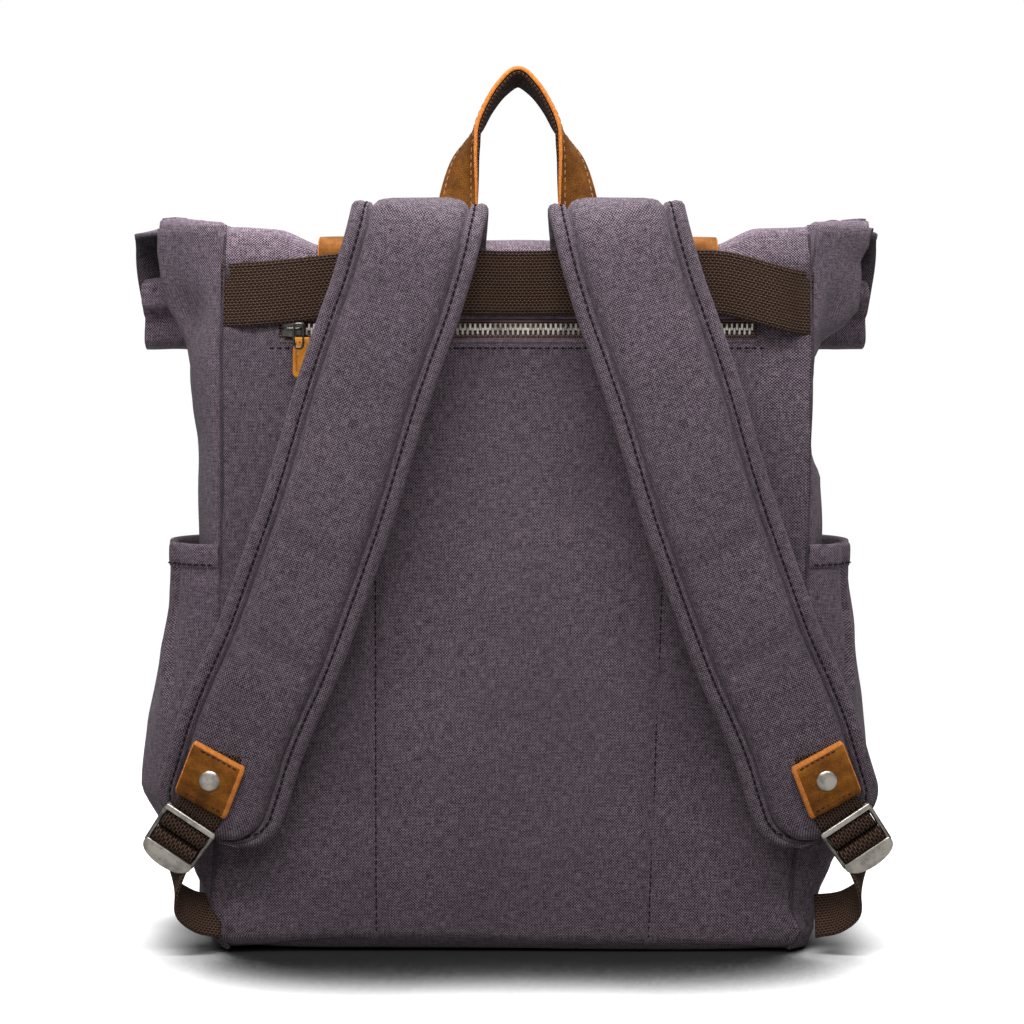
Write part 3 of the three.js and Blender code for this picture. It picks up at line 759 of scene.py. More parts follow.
def rear_point(x, z):
    """The carrying side's cloth: slightly full, drawn in at its sewn lines and rounded at the bottom."""
    share = x / HALF_WIDTH
    fullness = smooth(0, 70, z) * (1 - smooth(285, 333, z))
    y = REAR_Y - 0.2 - 3.4 * fullness * (1 - share * share)
    y += 1.1 * fullness * wobble(x, 0, z, 75, 3)
    y += 0.45 * fullness * wobble(x, 0, z * 1.5, 21, 8)
    # Drawn in at each upright seam, with a soft swell on both sides of it
    for k in range(2):
        away = x - upright_seam_x(k, z)
        hold = 1 - smooth(295, 330, z)
        y += hold * (1.5 * bump(away, 0, 1.9) - 0.8 * bump(away, -5.5, 4) - 0.5 * bump(away, 5.5, 4))
    # Rounded at the bottom, drawn in along the side seams and full at the lower corners
    y += 2.2 * (1 - smooth(0, 7, z)) ** 2 * 3
    edge = HALF_WIDTH - abs(x)
    y += 1.4 * bump(edge, 9.5, 2.4) * smooth(3, 20, z) * (1 - smooth(330, 345, z))
    y -= 3.0 * bump(edge, 4, 13) * bump(z, 14, 13)
    lift = rear_lift(x) * (1 - smooth(0, 34, z))
    return Vector((x, y, z + lift))


def rear_panel():
    inner = frange(-ZIP_HALF, ZIP_HALF, 2.75)
    side = 10
    below_zip = frange(0.4, ZIP_Z - ZIP_GAP, 4.0)
    slot_row = len(below_zip) - 1
    slot_columns = range(side, side + len(inner) - 1)
    rows = []
    for z in below_zip + frange(ZIP_Z + ZIP_GAP, 386, 5.0):
        left, right = seam_x(-1, z), seam_x(1, z)
        xs = [lerp(left, -ZIP_HALF, k / side) for k in range(side)] + inner
        xs += [lerp(ZIP_HALF, right, k / side) for k in range(1, side + 1)]
        rows.append([rear_point(x, z) for x in xs])
    keep = lambda i, j: not (i == slot_row and j in slot_columns)
    # The face is the darker copy of the canvas, painted shade; the back is the dark backing canvas, painted
    # shade.
    panel = grid("rear_panel", rows, [CANVAS_REAR_PAINTED_SHADE, CANVAS_BACK_PAINTED_SHADE], keep=keep)
    thicken(panel, CLOTH, rim=0)
    return finish(panel, "root", "canvas", "rear_panel_lower", "rear_panel_upper")


def gusset_point(side, z, s):
    """s runs from the rear seam (0) to the front seam (1)."""
    rear = Vector((seam_x(side, z), REAR_Y + 1.2, z))
    front_y = FRONT_Y - 2 if z < SHOULDER_Z else knots(z, [(262, 64), (330, 11), (392, 5), (404, 2)])
    front = Vector((side * FRONT_HALF, front_y, z))
    # Round across the lower part, flattened to a crease towards the ear
    bow = knots(z, GUSSET_BOW[side])
    fold = smooth(318, 372, z)
    soft = math.sin(math.pi * clamp(s, 0.0, 1.0)) ** 0.55
    crease_at = lerp(0.5, 0.42, fold)
    sharp = s / crease_at if s < crease_at else (1 - s) / (1 - crease_at)
    shape = lerp(soft, sharp**0.8, fold)
    point = rear.lerp(front, s)
    point.x += side * bow * shape
    # Crumples, a dent and a bulge under the ear
    edge = math.sin(math.pi * clamp(s))
    crumple = 1.3 + 1.8 * smooth(225, 330, z) - 2.7 * smooth(370, 386, z)
    point.x += side * edge * crumple * wobble(point.x * 0.3, point.y, z, 34, 11 + side)
    point.x -= side * 4.5 * bump(z, 352, 13) * bump(s, 0.17, 0.10)
    point.x += side * 2.5 * bump(z, 300, 26) * bump(s, 0.3, 0.2)
    point.y += (8.0 if side < 0 else 2.5) * bump(z, 353, 17) * bump(s, 0.26, 0.10)
    return point


def gusset(side, name):
    steps = [k / 34 for k in range(35)]
    if side < 0:
        steps.reverse()
    rows = [[gusset_point(side, z, s) for s in steps] for z in frange(0.6, 401, 4.5)]
    obj = grid("gusset_cloth_" + name, rows, [CANVAS, CANVAS_BACK_PAINTED_SHADE])
    thicken(obj, CLOTH, rim=0)
    return finish(obj, "root", "canvas", "gusset_" + name)


def front_point(x, z):
    """The far side's cloth: full and upright to the shoulder, then leaning back up to the mouth."""
    y = knots(z, [(0, 62), (12, 65.5), (235, 66), (268, 61), (330, 12), (392, 5)])
    share = x / FRONT_HALF
    y += 2.8 * (1 - share**4) * smooth(10, 60, z) * (1 - smooth(230, 262, z))
    y += 0.9 * wobble(x, 40, z, 48, 5) * (1 - share**4)
    return Vector((x, y, z))


def front_panel():
    columns = 90
    xs = [lerp(FRONT_HALF, -FRONT_HALF, k / columns) for k in range(columns + 1)]
    rows = [[front_point(x, z) for x in xs] for z in frange(0.6, 391.5, 5)]
    obj = grid("front_cloth", rows, [CANVAS, CANVAS_BACK_PAINTED_SHADE])
    thicken(obj, CLOTH, rim=0)
    return finish(obj, "root", "canvas", "front_panel")


# Corner power and points round the bottom, and the tray's section: share of its half size, and height
BASE_CORNER = 7
BASE_POINTS = 96
BASE_HALF = (164, 63.5)
BASE_SECTION = ((0.02, 1.2), (0.5, 1.0), (0.85, 0.4), (0.95, 0.2), (0.99, 1.4), (1.0, 3.5), (0.995, 6.0))


def base():
    """The bottom: a rounded tray whose edge turns up a little all round, and the board inside it. The tray is
    all in the dark backing canvas: painted shade under the bag and in the gap below the carrying side's
    lifted edge.
    """
    loop = rounded_loop(*BASE_HALF, BASE_CORNER, BASE_POINTS)
    rows = []
    for share, z in BASE_SECTION:
        row = []
        for loop_x, loop_y in loop:
            x, y = loop_x * share, loop_y * share - 1.0
            tuck = 1.5 + rear_lift(x) if loop_y < 0 else 0.0
            rise = tuck * smooth(0.9, 1.0, share) * smooth(0.2, 0.6, -loop_y / BASE_HALF[1])
            row.append(Vector((x, y, z + rise)))
        rows.append(row)
    obj = grid("base_cloth", rows, [CANVAS_BACK_PAINTED_SHADE], closed=True)
    thicken(obj, 1.2, offset=1.0)
    finish(obj, "root", "canvas", "base_panel")
    outline = rounded_loop(146, 56, BASE_CORNER, BASE_POINTS)
    board = plate("board_insert", outline, 2.6, Matrix.Translation((0, 0, 4.0)), [BOARD], 0.4)
    finish(board, "root", "board", "base_board")


# Half width of the fold with its ears, how deep the ears stand, and the cloth's turn over the top as
# (distance forwards, distance below the top)
EAR_HALF = 201.0
EAR_DEPTH = 31.0
TURN = (
    (0.0, 17.0), (0.0, 10.0), (0.8, 5.0), (3.4, 1.4), (8.0, 0.2), (12.0, 0.0), (15.5, 0.0), (19.0, 0.0),
    (22.5, 0.0), (26.0, 0.0), (30.0, 0.0), (34.0, 0.0),
)


def ear_y(x):
    """How far back the flattened end of the gusset stands, just below the top."""
    return REAR_Y + 1.2 + EAR_DEPTH * clamp((abs(x) - 160.5) / (41 if x < 0 else 33)) ** 1.25


def top_point(x, k):
    """The cloth's turn from the carrying side to the roll; k counts places along the turn."""
    # Between the ears the cloth starts low, hidden under the band; at an ear it starts on the gusset
    ear = smooth(162.0, 163.5, abs(x))
    start_y = lerp(REAR_Y - 0.7, ear_y(x) + (1.3, 0.0, -0.8)[min(k, 2)], ear)
    forward, below = TURN[k]
    below += (12.0, 5.0)[k] * (1 - ear) if k < 2 else 0.0
    lean = 11.0 * smooth(0, 3, k) * (1 - smooth(70, 110, abs(x)))
    y = start_y + forward + lean
    if k > 3:
        y = lerp(y, -20.0, smooth(3, len(TURN) - 1, k))
    crown = 0.8 * wobble(x, 0, 0, 26, 2) * (1 if k > 1 else 0)
    return Vector((x, y, knots(abs(x), TOP_LINE) - below + crown))


def top_fold():
    xs = frange(-EAR_HALF, -164, 3.4) + frange(-163.2, 163.2, 3.4) + frange(164, EAR_HALF - 4, 3.4)
    rows = [[top_point(x, k) for x in xs] for k in range(len(TURN))]
    # The fold's face is the lighter copy of the canvas, painted light from above; its back is the dark
    # backing canvas, painted shade.
    obj = grid("top_fold", rows, [CANVAS_TOP_PAINTED_LIGHT, CANVAS_BACK_PAINTED_SHADE])
    thicken(obj, CLOTH, rim=0)
    settle(obj)
    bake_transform(obj)
    return obj


# The roll's section as (y, z), from the fold over the top, down and round into its second turn
ROLL_LINE = [
    (-34, 402.2), (0, 403.2), (36, 403.2), (46, 399.5), (50.5, 391), (51, 368), (50, 346), (46, 338),
    (34, 335.2), (22, 338), (18.5, 346), (18, 384), (24, 392.5), (34, 393.5), (41.5, 387.5), (42.5, 352),
    (38.5, 346),
]
# How far each end of the roll reaches, and the share of the section where its second turn starts
ROLL_END = {-1: 227.0, 1: 212.5}
SECOND_TURN = 0.42


def roll():
    """The mouth rolled over towards the far side, with its ends standing open."""
    line = Path([(0, y, z) for y, z in ROLL_LINE], 12)
    count = 150
    half = max(ROLL_END.values())
    xs = frange(-half, half, 4.0)
    rows = []
    for k in range(count + 1):
        place = line.at(line.length * k / count)
        share = k / count
        row = []
        for x in xs:
            end = smooth(150, half, abs(x))
            side = 1 if x > 0 else -1
            z = place.z + sag(x, place.z) + 1.0 * end * wobble(x, place.y, place.z, 23, 4)
            y = place.y + 1.0 * wobble(x, 0, place.z, 60, 6)
            y += 3.5 * end * wobble(side * 9, place.y, place.z, 18, 9)
            # The second turn stands further in at its ends, and the first starts at the ears
            inner = smooth(SECOND_TURN, SECOND_TURN + 0.06, share)
            first = (1 - inner) * smooth(388, 400, place.z) * (1 - smooth(-34, 42, place.y))
            inward = half - ROLL_END[side] + 5 * (1 - inner) * (1 - smooth(336, 400, place.z)) + 9 * inner
            inward += (ROLL_END[side] - EAR_HALF + 1.5) * first
            inward -= 1.5 * wobble(side * 5, place.y, place.z, 30, 2)
            # Crushed ends of the second turn
            y -= 5.0 * end * inner * smooth(357, 359, place.z) * (1 - smooth(20, 26, place.y))
            z -= 17.0 * inner * smooth(180, 214, abs(x)) * smooth(352, 386, place.z)
            row.append(Vector((x - side * inward * end, y, z)))
        rows.append(row)
    obj = grid("roll_cloth", rows, [CANVAS, CANVAS_BACK_PAINTED_SHADE])
    thicken(obj, 2.2, rim=0)
    return finish(obj, "roll", "canvas", "roll_flap")


def seam_runs():
    """Dark tone-on-tone sewing on the body."""
    out = REARWARD
    runs = []
    for k in range(2):
        line = [rear_point(upright_seam_x(k, z), z) for z in frange(6, 322, 3)]
        runs.append([(p + out * 0.2, out) for p in line])
    reach = ZIP_HALF + 6
    for height in (ZIP_Z - ZIP_GAP - 3.4, ZIP_Z + ZIP_GAP + 2.6):
        line = [rear_point(x, height) for x in frange(-reach, reach, 3)]
        runs.append([(p + out * 0.1, out) for p in line])
    return runs


def rear_seams():
    """The two upright seams between the carrying side and the gussets, as tubes in the dark backing canvas:
    painted shade along the seams' folds.
    """
    thickness = lambda t: 1.0 + 0.15 * math.sin(t * 60)
    for name, side in SIDES:
        line = []
        for z in frange(1, 396, 3):
            x = seam_x(side, z)
            line.append(Vector((x, REAR_Y + 0.4, rear_point(x, z).z)))
        finish(tube("rear_seam_" + name, line, thickness, [CANVAS_BACK_PAINTED_SHADE], 8), "root", "canvas")


def zip_folds():
    """The turned edges of the cloth above and below the zip."""
    for name, height in (("lower", ZIP_Z - ZIP_GAP + 0.2), ("upper", ZIP_Z + ZIP_GAP - 0.2)):
        line = [Vector((x, REAR_Y + 0.5, height)) for x in frange(-ZIP_HALF, ZIP_HALF, 4)]
        finish(tube("zip_fold_" + name, line, 1.25, [CANVAS], 8), "root", "canvas")


def body():
    rear_panel()
    for name, side in SIDES:
        gusset(side, name)
    front_panel()
    base()
    top_fold()
    roll()
    finish(stitch_mesh("body_stitches", seam_runs(), BODY_SEWING, THREAD), "root", "thread")
    rear_seams()
    zip_folds()


body()


# -------------------- webbing band and rear zip


def band_stand_off(x):
    """How far the band stands off, 0 to 1.35: over the strap ends, and at the right over the zip pull."""
    if x > 0:
        return smooth(8, 20, x) * (1 - smooth(138, 158, x)) * (1 + 0.35 * smooth(70, 95, x))
    return smooth(8, 20, -x) * (1 - smooth(88, 102, -x))


def webbing_band():
    """The wide webbing that covers the ends of the straps, hanging a little lower at both ends."""
    middle = (BAND_LOW.z + BAND_HIGH.z) / 2
    half = (BAND_HIGH.z - BAND_LOW.z) / 2
    stations = []
    for x in frange(-162.6, 162.0, 3.5):
        drop = 6.5 * smooth(70, 161, -x) + 11.0 * smooth(104, 161, x)
        y = REAR_Y - 3.2 - 5.0 * band_stand_off(x) - 1.2 * bump(abs(x), 98, 14)
        y += 3.0 * smooth(148, 161, abs(x)) + 0.35 * wobble(x, 0, 0, 30, 7)
        stations.append((Vector((x, y, middle - drop)), UP, REARWARD))
    band = ribbon("webbing_strip", stations, half, 2.2, [WEB, WEB], columns=12)
    finish(outward(band), "root", "webbing", "webbing_band")
    runs = []
    for share in (-0.9, 0.9):
        runs.append([(c + a * (share * half) + o * 0.1, o) for c, a, o in stations])
    finish(stitch_mesh("band_stitches", runs, BAND_SEWING, THREAD), "root", "thread")


def zip_tooth(points, faces, x, low, high, y):
    """One tooth: a small block with a rounded head at its high end, which may point down."""
    half, deep = 0.62, 1.15
    base = len(points)
    shoulder = high - math.copysign(0.5, high - low)
    outline = [
        (-half, low), (half, low), (half, shoulder), (half * 0.55, high), (-half * 0.55, high),
        (-half, shoulder),
    ]
    for depth in (0.0, deep):
        points += [Vector((x + u, y - depth, z)) for u, z in outline]
    count = len(outline)
    faces.append(tuple(base + k for k in range(count)))
    faces.append(tuple(base + count + k for k in reversed(range(count))))
    for k in range(count):
        j = (k + 1) % count
        faces.append((base + k, base + count + k, base + count + j, base + j))


def zip_teeth():
    pitch = 2.75
    for name, shift in (("lower", 0.0), ("upper", pitch / 2)):
        points, faces = [], []
        sign = -1 if name == "lower" else 1
        for x in frange(-ZIP_HALF + 4 + shift, ZIP_HALF - 4 + shift, pitch):
            zip_tooth(points, faces, x, ZIP_Z + sign * 3.1, ZIP_Z - sign * 0.75, REAR_Y + 1.0)
        teeth = outward(make_mesh("zip_row_" + name, points, faces, [NICKEL], smooth_shade=False))
        bevel(teeth, 0.16, 1)
        finish(teeth, "root", "zip_metal", "zip_teeth_" + name)


def zip_tapes():
    for name, sign in (("lower", -1), ("upper", 1)):
        stations = []
        for x in frange(-ZIP_HALF - 1, ZIP_HALF + 1, 6):
            centre = Vector((x, REAR_Y + 1.7 + 0.15 * wobble(x, 0, 0, 20), ZIP_Z + sign * 8.0))
            stations.append((centre, UP, REARWARD))
        tape = outward(ribbon("zip_cloth_" + name, stations, 7.6, 0.8, [TAPE, TAPE], columns=6))
        finish(tape, "root", "zip_tape", "zip_tape_" + name)


SLIDER_X = (SLIDER_LOW.x + SLIDER_HIGH.x) / 2
SLIDER_Y = REAR_Y - 1.3
# The bridge the pull hangs from, and how far right of the slider's middle the pull hangs
BRIDGE_Y = SLIDER_Y - 5.4
PULL_X = SLIDER_X + 3.4


def zip_slider():
    """Two plates joined by a post, with a bridge for the pull."""
    turned = Matrix.Rotation(math.pi / 2, 4, "X")
    shape = [
        (-6.4, -3.1), (-5.6, -4.1), (3.0, -4.9), (5.6, -4.4), (6.6, -2.0), (6.6, 2.0), (5.6, 4.4),
        (3.0, 4.9), (-5.6, 4.1), (-6.4, 3.1),
    ]
    pieces = []
    for y in (SLIDER_Y, REAR_Y + 3.3):
        place = Matrix.Translation((SLIDER_X, y, ZIP_Z)) @ turned
        pieces.append(plate("slider_plate", shape, 1.6, place, [GUNMETAL], 0.55))
    post = [(5.2, -1.0), (6.0, 0), (5.2, 1.0), (2.5, 0.9), (2.5, -0.9)]
    place = Matrix.Translation((SLIDER_X, REAR_Y + 1.0, ZIP_Z)) @ turned
    pieces.append(plate("slider_post", post, 5.0, place, [GUNMETAL], 0.2))
    bridge = [(-5, 0.4), (-4.9, 3.4), (-3, 5.4), (3, 5.4), (4.9, 3.4), (5, 0.4)]
    line = Path([(SLIDER_X + x, SLIDER_Y - away, ZIP_Z) for x, away in bridge], 6)
    pieces.append(tube("slider_bridge", line.line, 0.85, [GUNMETAL], 10))
    finish(join("zip_runner", pieces), "zip_slider", "zip_metal", "zip_slider")


def pull_ring():
    """The wire ring through the slider's bridge."""
    top, low = TAB_HIGH.z + 12.0, TAB_HIGH.z - 1.0
    loop = rounded_loop(2.6, (top - low) / 2, 4, 36)
    line = [Vector((PULL_X + x, BRIDGE_Y - 1.65, (top + low) / 2 + z)) for x, z in loop]
    ring = tube("pull_ring", line, 0.7, [GUNMETAL], 10, closed=True)
    finish(ring, "zip_pull", "zip_metal", "zip_pull_ring")


def pull_tab():
    """The leather tab that hangs from the ring, with its stitches."""
    x, y = PULL_X + 1.6, BRIDGE_Y - 1.9
    stations = []
    for z in frange(TAB_LOW.z + 0.6, TAB_HIGH.z + 4.6, 1.2):
        bend = 0.9 * math.sin((z - TAB_LOW.z) / 7)
        stations.append((Vector((x, y + bend * 0.5, z)), Vector((-1, 0, 0)), REARWARD))
    half = (TAB_HIGH.x - TAB_LOW.x) / 2
    width = lambda t: half * (0.82 + 0.18 * (1 - t) ** 0.5) * (0.75 + 0.25 * smooth(0, 0.12, t))
    tab = outward(ribbon("pull_leather", stations, width, 2.3, [PULL_LEATHER, LEATHER_EDGE], columns=6))
    finish(tab, "zip_pull", "leather", "zip_pull_tab")
    foot, head = TAB_LOW.z + 4, TAB_HIGH.z + 2
    corners = ((-3, foot), (-3, head), (3, head), (3, foot))
    run = [(Vector((x + u, y, z)), REARWARD) for u, z in corners]
    finish(stitch_mesh("pull_stitches", [run], PULL_SEWING, TAN_THREAD), "zip_pull", "thread")


webbing_band()
zip_teeth()
zip_tapes()
zip_slider()
pull_ring()
pull_tab()

# -------------------- side pockets

# How far each pocket reaches from the bag's middle, by height
POCKET_REACH = {
    -1: [(0, 169), (14, 172), (28, 176), (44, 188), (60, 205), (85, 217), (122, 214), (160, 207),
         (192, 200), (226, 200)],
    1: [(0, 168), (14, 171), (28, 175), (44, 183), (60, 193), (85, 203), (134, 200), (172, 195),
        (200, 190), (226, 190)],
}
# The hem's section: height from its top and distance out of the cloth, with its sewing line
POCKET_HEM = [
    (-13.0, 0.2), (-12.2, 0.95), (-6.0, 1.25), (-1.2, 1.3), (0.2, 0.7), (0.6, -0.4), (0.0, -1.7),
    (-2.0, -2.3), (-12.5, -2.3),
]
POCKET_TOP = HEM_HIGH.z + 1
POCKET_SEWING = (-11.0, 1.05)


def pocket_path(side, z, out=0.0):
    """The pocket's level section from the rear seam round to the front seam."""
    reach = knots(z, POCKET_REACH[side]) + out
    seam = abs(seam_x(side, z)) + 1.0 + out * 0.5
    belly = reach - seam
    section = (
        (seam, REAR_Y + 0.8 - out), (seam + 0.62 * belly, -54 - out), (reach - 4.5, -28 - out * 0.5),
        (reach, 2), (reach - 3.0, 28), (seam + 0.6 * belly, 48 + out), (165, FRONT_Y - 3.5 + out),
    )
    return Path([(side * x, y, z) for x, y in section], 8)


def pocket_point(side, z, s, out=0.0):
    line = pocket_path(side, z, out)
    point = line.at(line.length * s)
    inside = math.sin(math.pi * s)
    free = smooth(0, 25, z) * (1 - 0.6 * smooth(195, 215, z))
    point.x += side * 2.6 * inside * free * wobble(point.y, z * 0.7, side * 30, 38, 12)
    # A pleat near the rear seam and a softer fold further round, both only in the upper part
    pleat = 0.2 + 0.03 * math.sin((z - 150) / 22)
    drape = smooth(120, 165, z)
    point.x -= side * drape * (4.6 * bump(s, pleat, 0.022) - 2.6 * bump(s, pleat + 0.045, 0.03))
    point.x -= side * drape * 3.0 * bump(s, 0.43 + (z - 200) * 0.0012, 0.03)
    return point


def side_pocket(side, name):
    steps = frange(0, 1, 0.0125)
    if side < 0:
        steps.reverse()
    rows = [[pocket_point(side, z, s) for s in steps] for z in frange(1.0, HEM_LOW.z + 8, 4.5)]
    obj = grid("pocket_cloth_" + name, rows, [CANVAS, CANVAS_BACK_PAINTED_SHADE])
    thicken(obj, CLOTH, rim=0)
    finish(obj, "root", "canvas", "side_pocket_" + name)
    rows = [[pocket_point(side, POCKET_TOP + dz, s, out) for s in steps] for dz, out in POCKET_HEM]
    hem = grid("pocket_hem_" + name, rows, [CANVAS, CANVAS])
    subdivide(hem)
    finish(hem, "root", "canvas", "side_pocket_hem_" + name)
    dz, out = POCKET_SEWING
    run = []
    for s in frange(0.02, 0.98, 0.01):
        facing = Vector((side * 0.8, -bump(s / 0.98, 0, 0.3) * 0.8, 0)).normalized()
        run.append((pocket_point(side, POCKET_TOP + dz, s, out), facing))
    finish(stitch_mesh("pocket_stitches_" + name, [run], BODY_SEWING, THREAD), "root", "thread")


for pocket_name, pocket_side in SIDES:
    side_pocket(pocket_side, pocket_name)

# -------------------- shoulder straps

# Middle of the left strap's outer face, from behind the webbing band, over the arch and down to the tip
STRAP_LINE = [
    (-53, -68.6, 362), (-53, -71.6, 389), (-52, -79, 404.5), (-51.5, -93.5, 412), (-53, -108, 404.5),
    (-57, -114, 386), (-65, -113, 359), (-73, -112, 337), (-84, -110, 305), (-100, -107, 252),
    (-114, -103, 212), (-130, -99, 169), (-141, -96, 145), (-151, -93, 121), (-158, -90, 99),
    (-164, -88, 81), (-169.5, -86.5, 66),
]
STRAP = Path(STRAP_LINE, 24)
STRAP_STEPS = len(STRAP_LINE) - 3
STRAP_END = 1 + 1 / STRAP_STEPS
STRAP_ROWS = 230
TIP_ROUND = 24.0
# Turns a difference of share into mm near the tip, where the strap's points are about 17.5 mm apart
TIP_SPAN = STRAP_STEPS * 17.5
# How far the webbing and the buckle sit outboard of the strap's middle
WEB_OUTSET = 7.0


def strap_frame(share):
    """Middle, width direction and outward direction of the strap; share 0 is the band's top, 1 the tip."""
    index = clamp((share * STRAP_STEPS + 1) / (STRAP_STEPS + 2)) * (len(STRAP.line) - 1)
    low = min(int(index), len(STRAP.line) - 2)
    centre = STRAP.line[low].lerp(STRAP.line[low + 1], index - low)
    before, after = max(0, low - 1), min(len(STRAP.line) - 1, low + 2)
    along = (STRAP.line[after] - STRAP.line[before]).normalized()
    falling = smooth(0.1, 0.9, -along.z)
    across = Vector((1, 0, -falling * along.x / min(along.z, -0.1)))
    across = (across - along * across.dot(along)).normalized()
    return centre, across, along.cross(across).normalized()


def strap_matrix(share, outset, turn):
    """A place on the strap: X across, Y up the strap, Z out of its face, turned outboard."""
    centre, across, out = strap_frame(share)
    up = out.cross(across)
    origin = centre - across * outset
    basis = Matrix((across, up, out)).transposed().to_4x4()
    return Matrix.Translation(origin) @ basis @ Matrix.Rotation(-math.radians(turn), 4, "Z")


def strap_half(to_tip):
    """Half width by the distance left to the tip: round corners on a square end."""
    if to_tip >= TIP_ROUND:
        return STRAP_HALF
    return STRAP_HALF - TIP_ROUND + math.sqrt(max(0.0, TIP_ROUND**2 - (TIP_ROUND - to_tip) ** 2))


# The strap's section: how far in from the edge, and how deep below the line of the face
STRAP_FACE = [
    (0.4, -4.6), (1.4, -2.7), (4.0, -1.7), (6.2, -2.2), (7.4, -3.6), (8.6, -2.2), (9.7, -2.6), (10.6, -5.6),
    (11.6, -3.2), (13.2, -0.9), (16, 0.3), (21, 1.1), (28, 1.4),
]
STRAP_BACK = [(0.4, -6.6), (1.6, -8.6), (5.5, -10.2), (12, -11.5), (22, -12.2), (30, -12.4)]
# Creases across the strap: share along it, width and depth
STRAP_CREASES = (
    (0.625, 0.010, 1.5), (0.648, 0.008, 0.8), (0.718, 0.009, 1.3), (0.30, 0.02, 0.5), (0.845, 0.008, 0.6),
)
# The sewn groove's distance in from the edge, and the depth of its stitches
GROOVE_INSET = 7.4
GROOVE_DEPTH = -2.3


def strap_depth(share, across_mm, depth):
    """The face's creases and soft unevenness, strongest on its padded middle."""
    full = smooth(12.5, 20, STRAP_HALF - abs(across_mm))
    for place, width, amount in STRAP_CREASES:
        depth -= amount * (0.35 + 0.65 * full) * bump(share, place + across_mm * 0.00035, width)
    return depth + full * 0.55 * wobble(across_mm, share * 520, 0, 26, 21)


def strap_rows(steps):
    """Rings round the strap, from behind the band to the tip."""
    faces = ((-1, STRAP_FACE, True), (1, STRAP_FACE[::-1], True))
    backs = ((1, STRAP_BACK, False), (-1, STRAP_BACK[::-1], False))
    rows = []
    for i in range(steps + 1):
        share = lerp(-1 / STRAP_STEPS, STRAP_END, 1 - (1 - i / steps) ** 1.08)
        centre, across, out = strap_frame(share)
        to_tip = (STRAP_END - share) * TIP_SPAN
        half = strap_half(to_tip)
        thin = lerp(0.17, 1.0, smooth(0.0, 0.062, share)) * lerp(0.45, 1.0, smooth(0, 7, to_tip))
        middle = -6.2 if thin > 0.5 else -1.0
        ring = []
        for sign, profile, is_face in faces + backs:
            for inset, depth in profile:
                x = sign * max(0.0, half - inset)
                if is_face:
                    depth = strap_depth(share, sign * (STRAP_HALF - inset), depth)
                ring.append(centre + across * x + out * (middle + (depth - middle) * thin))
        rows.append(ring)
    return rows


def strap_stitch_run():
    """One row of sewing down one side, round the tip and up the other side."""
    straight = STRAP_HALF - TIP_ROUND
    corner = TIP_ROUND - GROOVE_INSET
    outline = [(STRAP_HALF - GROOVE_INSET, to_tip) for to_tip in reversed(frange(TIP_ROUND, TIP_SPAN, 2.5))]
    for k in range(1, 12):
        angle = math.pi / 2 * k / 12
        outline.append((straight + corner * math.cos(angle), TIP_ROUND - corner * math.sin(angle)))
    outline += [(x, GROOVE_INSET) for x in reversed(frange(0, straight, 2.5))]
    outline += [(-x, to_tip) for x, to_tip in reversed(outline[:-1])]
    run = []
    for x, to_tip in outline:
        share = STRAP_END - to_tip / TIP_SPAN
        centre, across, out = strap_frame(share)
        run.append((centre + across * x + out * strap_depth(share, x, GROOVE_DEPTH), out))
    return [run]


def shoulder_strap():
    # The strap is the darker copy of the canvas: painted shade.
    strap = grid("strap_pad_left", strap_rows(STRAP_ROWS), [CANVAS_REAR_PAINTED_SHADE], closed=True)
    count = len(STRAP_FACE) * 2 + len(STRAP_BACK) * 2
    cap_ends(strap, count, STRAP_ROWS + 1, 0)
    return outward(strap)


# The short webbing on the strap's end: share along the strap, turn outboard and height off its face
WEB_ROUTE = (
    (0.882, 10, 1.6), (0.9, 11, 2.2), (0.93, 12, 2.8), (0.96, 12, 3.0), (0.985, 14, 3.0),
)
# Its last part, under the buckle's bar, in the frame of the strap's end
WEB_END = ((-3.5, 2.9), (-6.5, 2.2), (-9.5, 0.4), (-10.5, -2.5), (-8.5, -4.5))


def web_stations():
    """The short webbing on the strap's end: out from behind the patch and down under the buckle's bar."""
    outset = WEB_OUTSET + 1.5
    end = strap_matrix(1.0, outset, 15)
    places = [(strap_matrix(share, outset, turn), 0.0, z) for share, turn, z in WEB_ROUTE]
    places += [(end, y, z) for y, z in WEB_END]
    stations = []
    for place, y, z in places:
        across = (place.to_3x3() @ RIGHT).normalized()
        stations.append((place @ Vector((0, y, z)), across, Vector()))
    return stations


def refined(stations, times=4):
    """The same stations, with smooth ones added between them."""
    centres = Path([s[0] for s in stations], times)
    across = Path([s[1] for s in stations], times)
    result = []
    count = len(centres.line)
    for i in range(count):
        before, after = centres.line[max(0, i - 1)], centres.line[min(count - 1, i + 1)]
        along = (after - before).normalized()
        side = across.line[i]
        side = (side - along * side.dot(along)).normalized()
        result.append((centres.line[i], side, along.cross(side).normalized()))
    return result


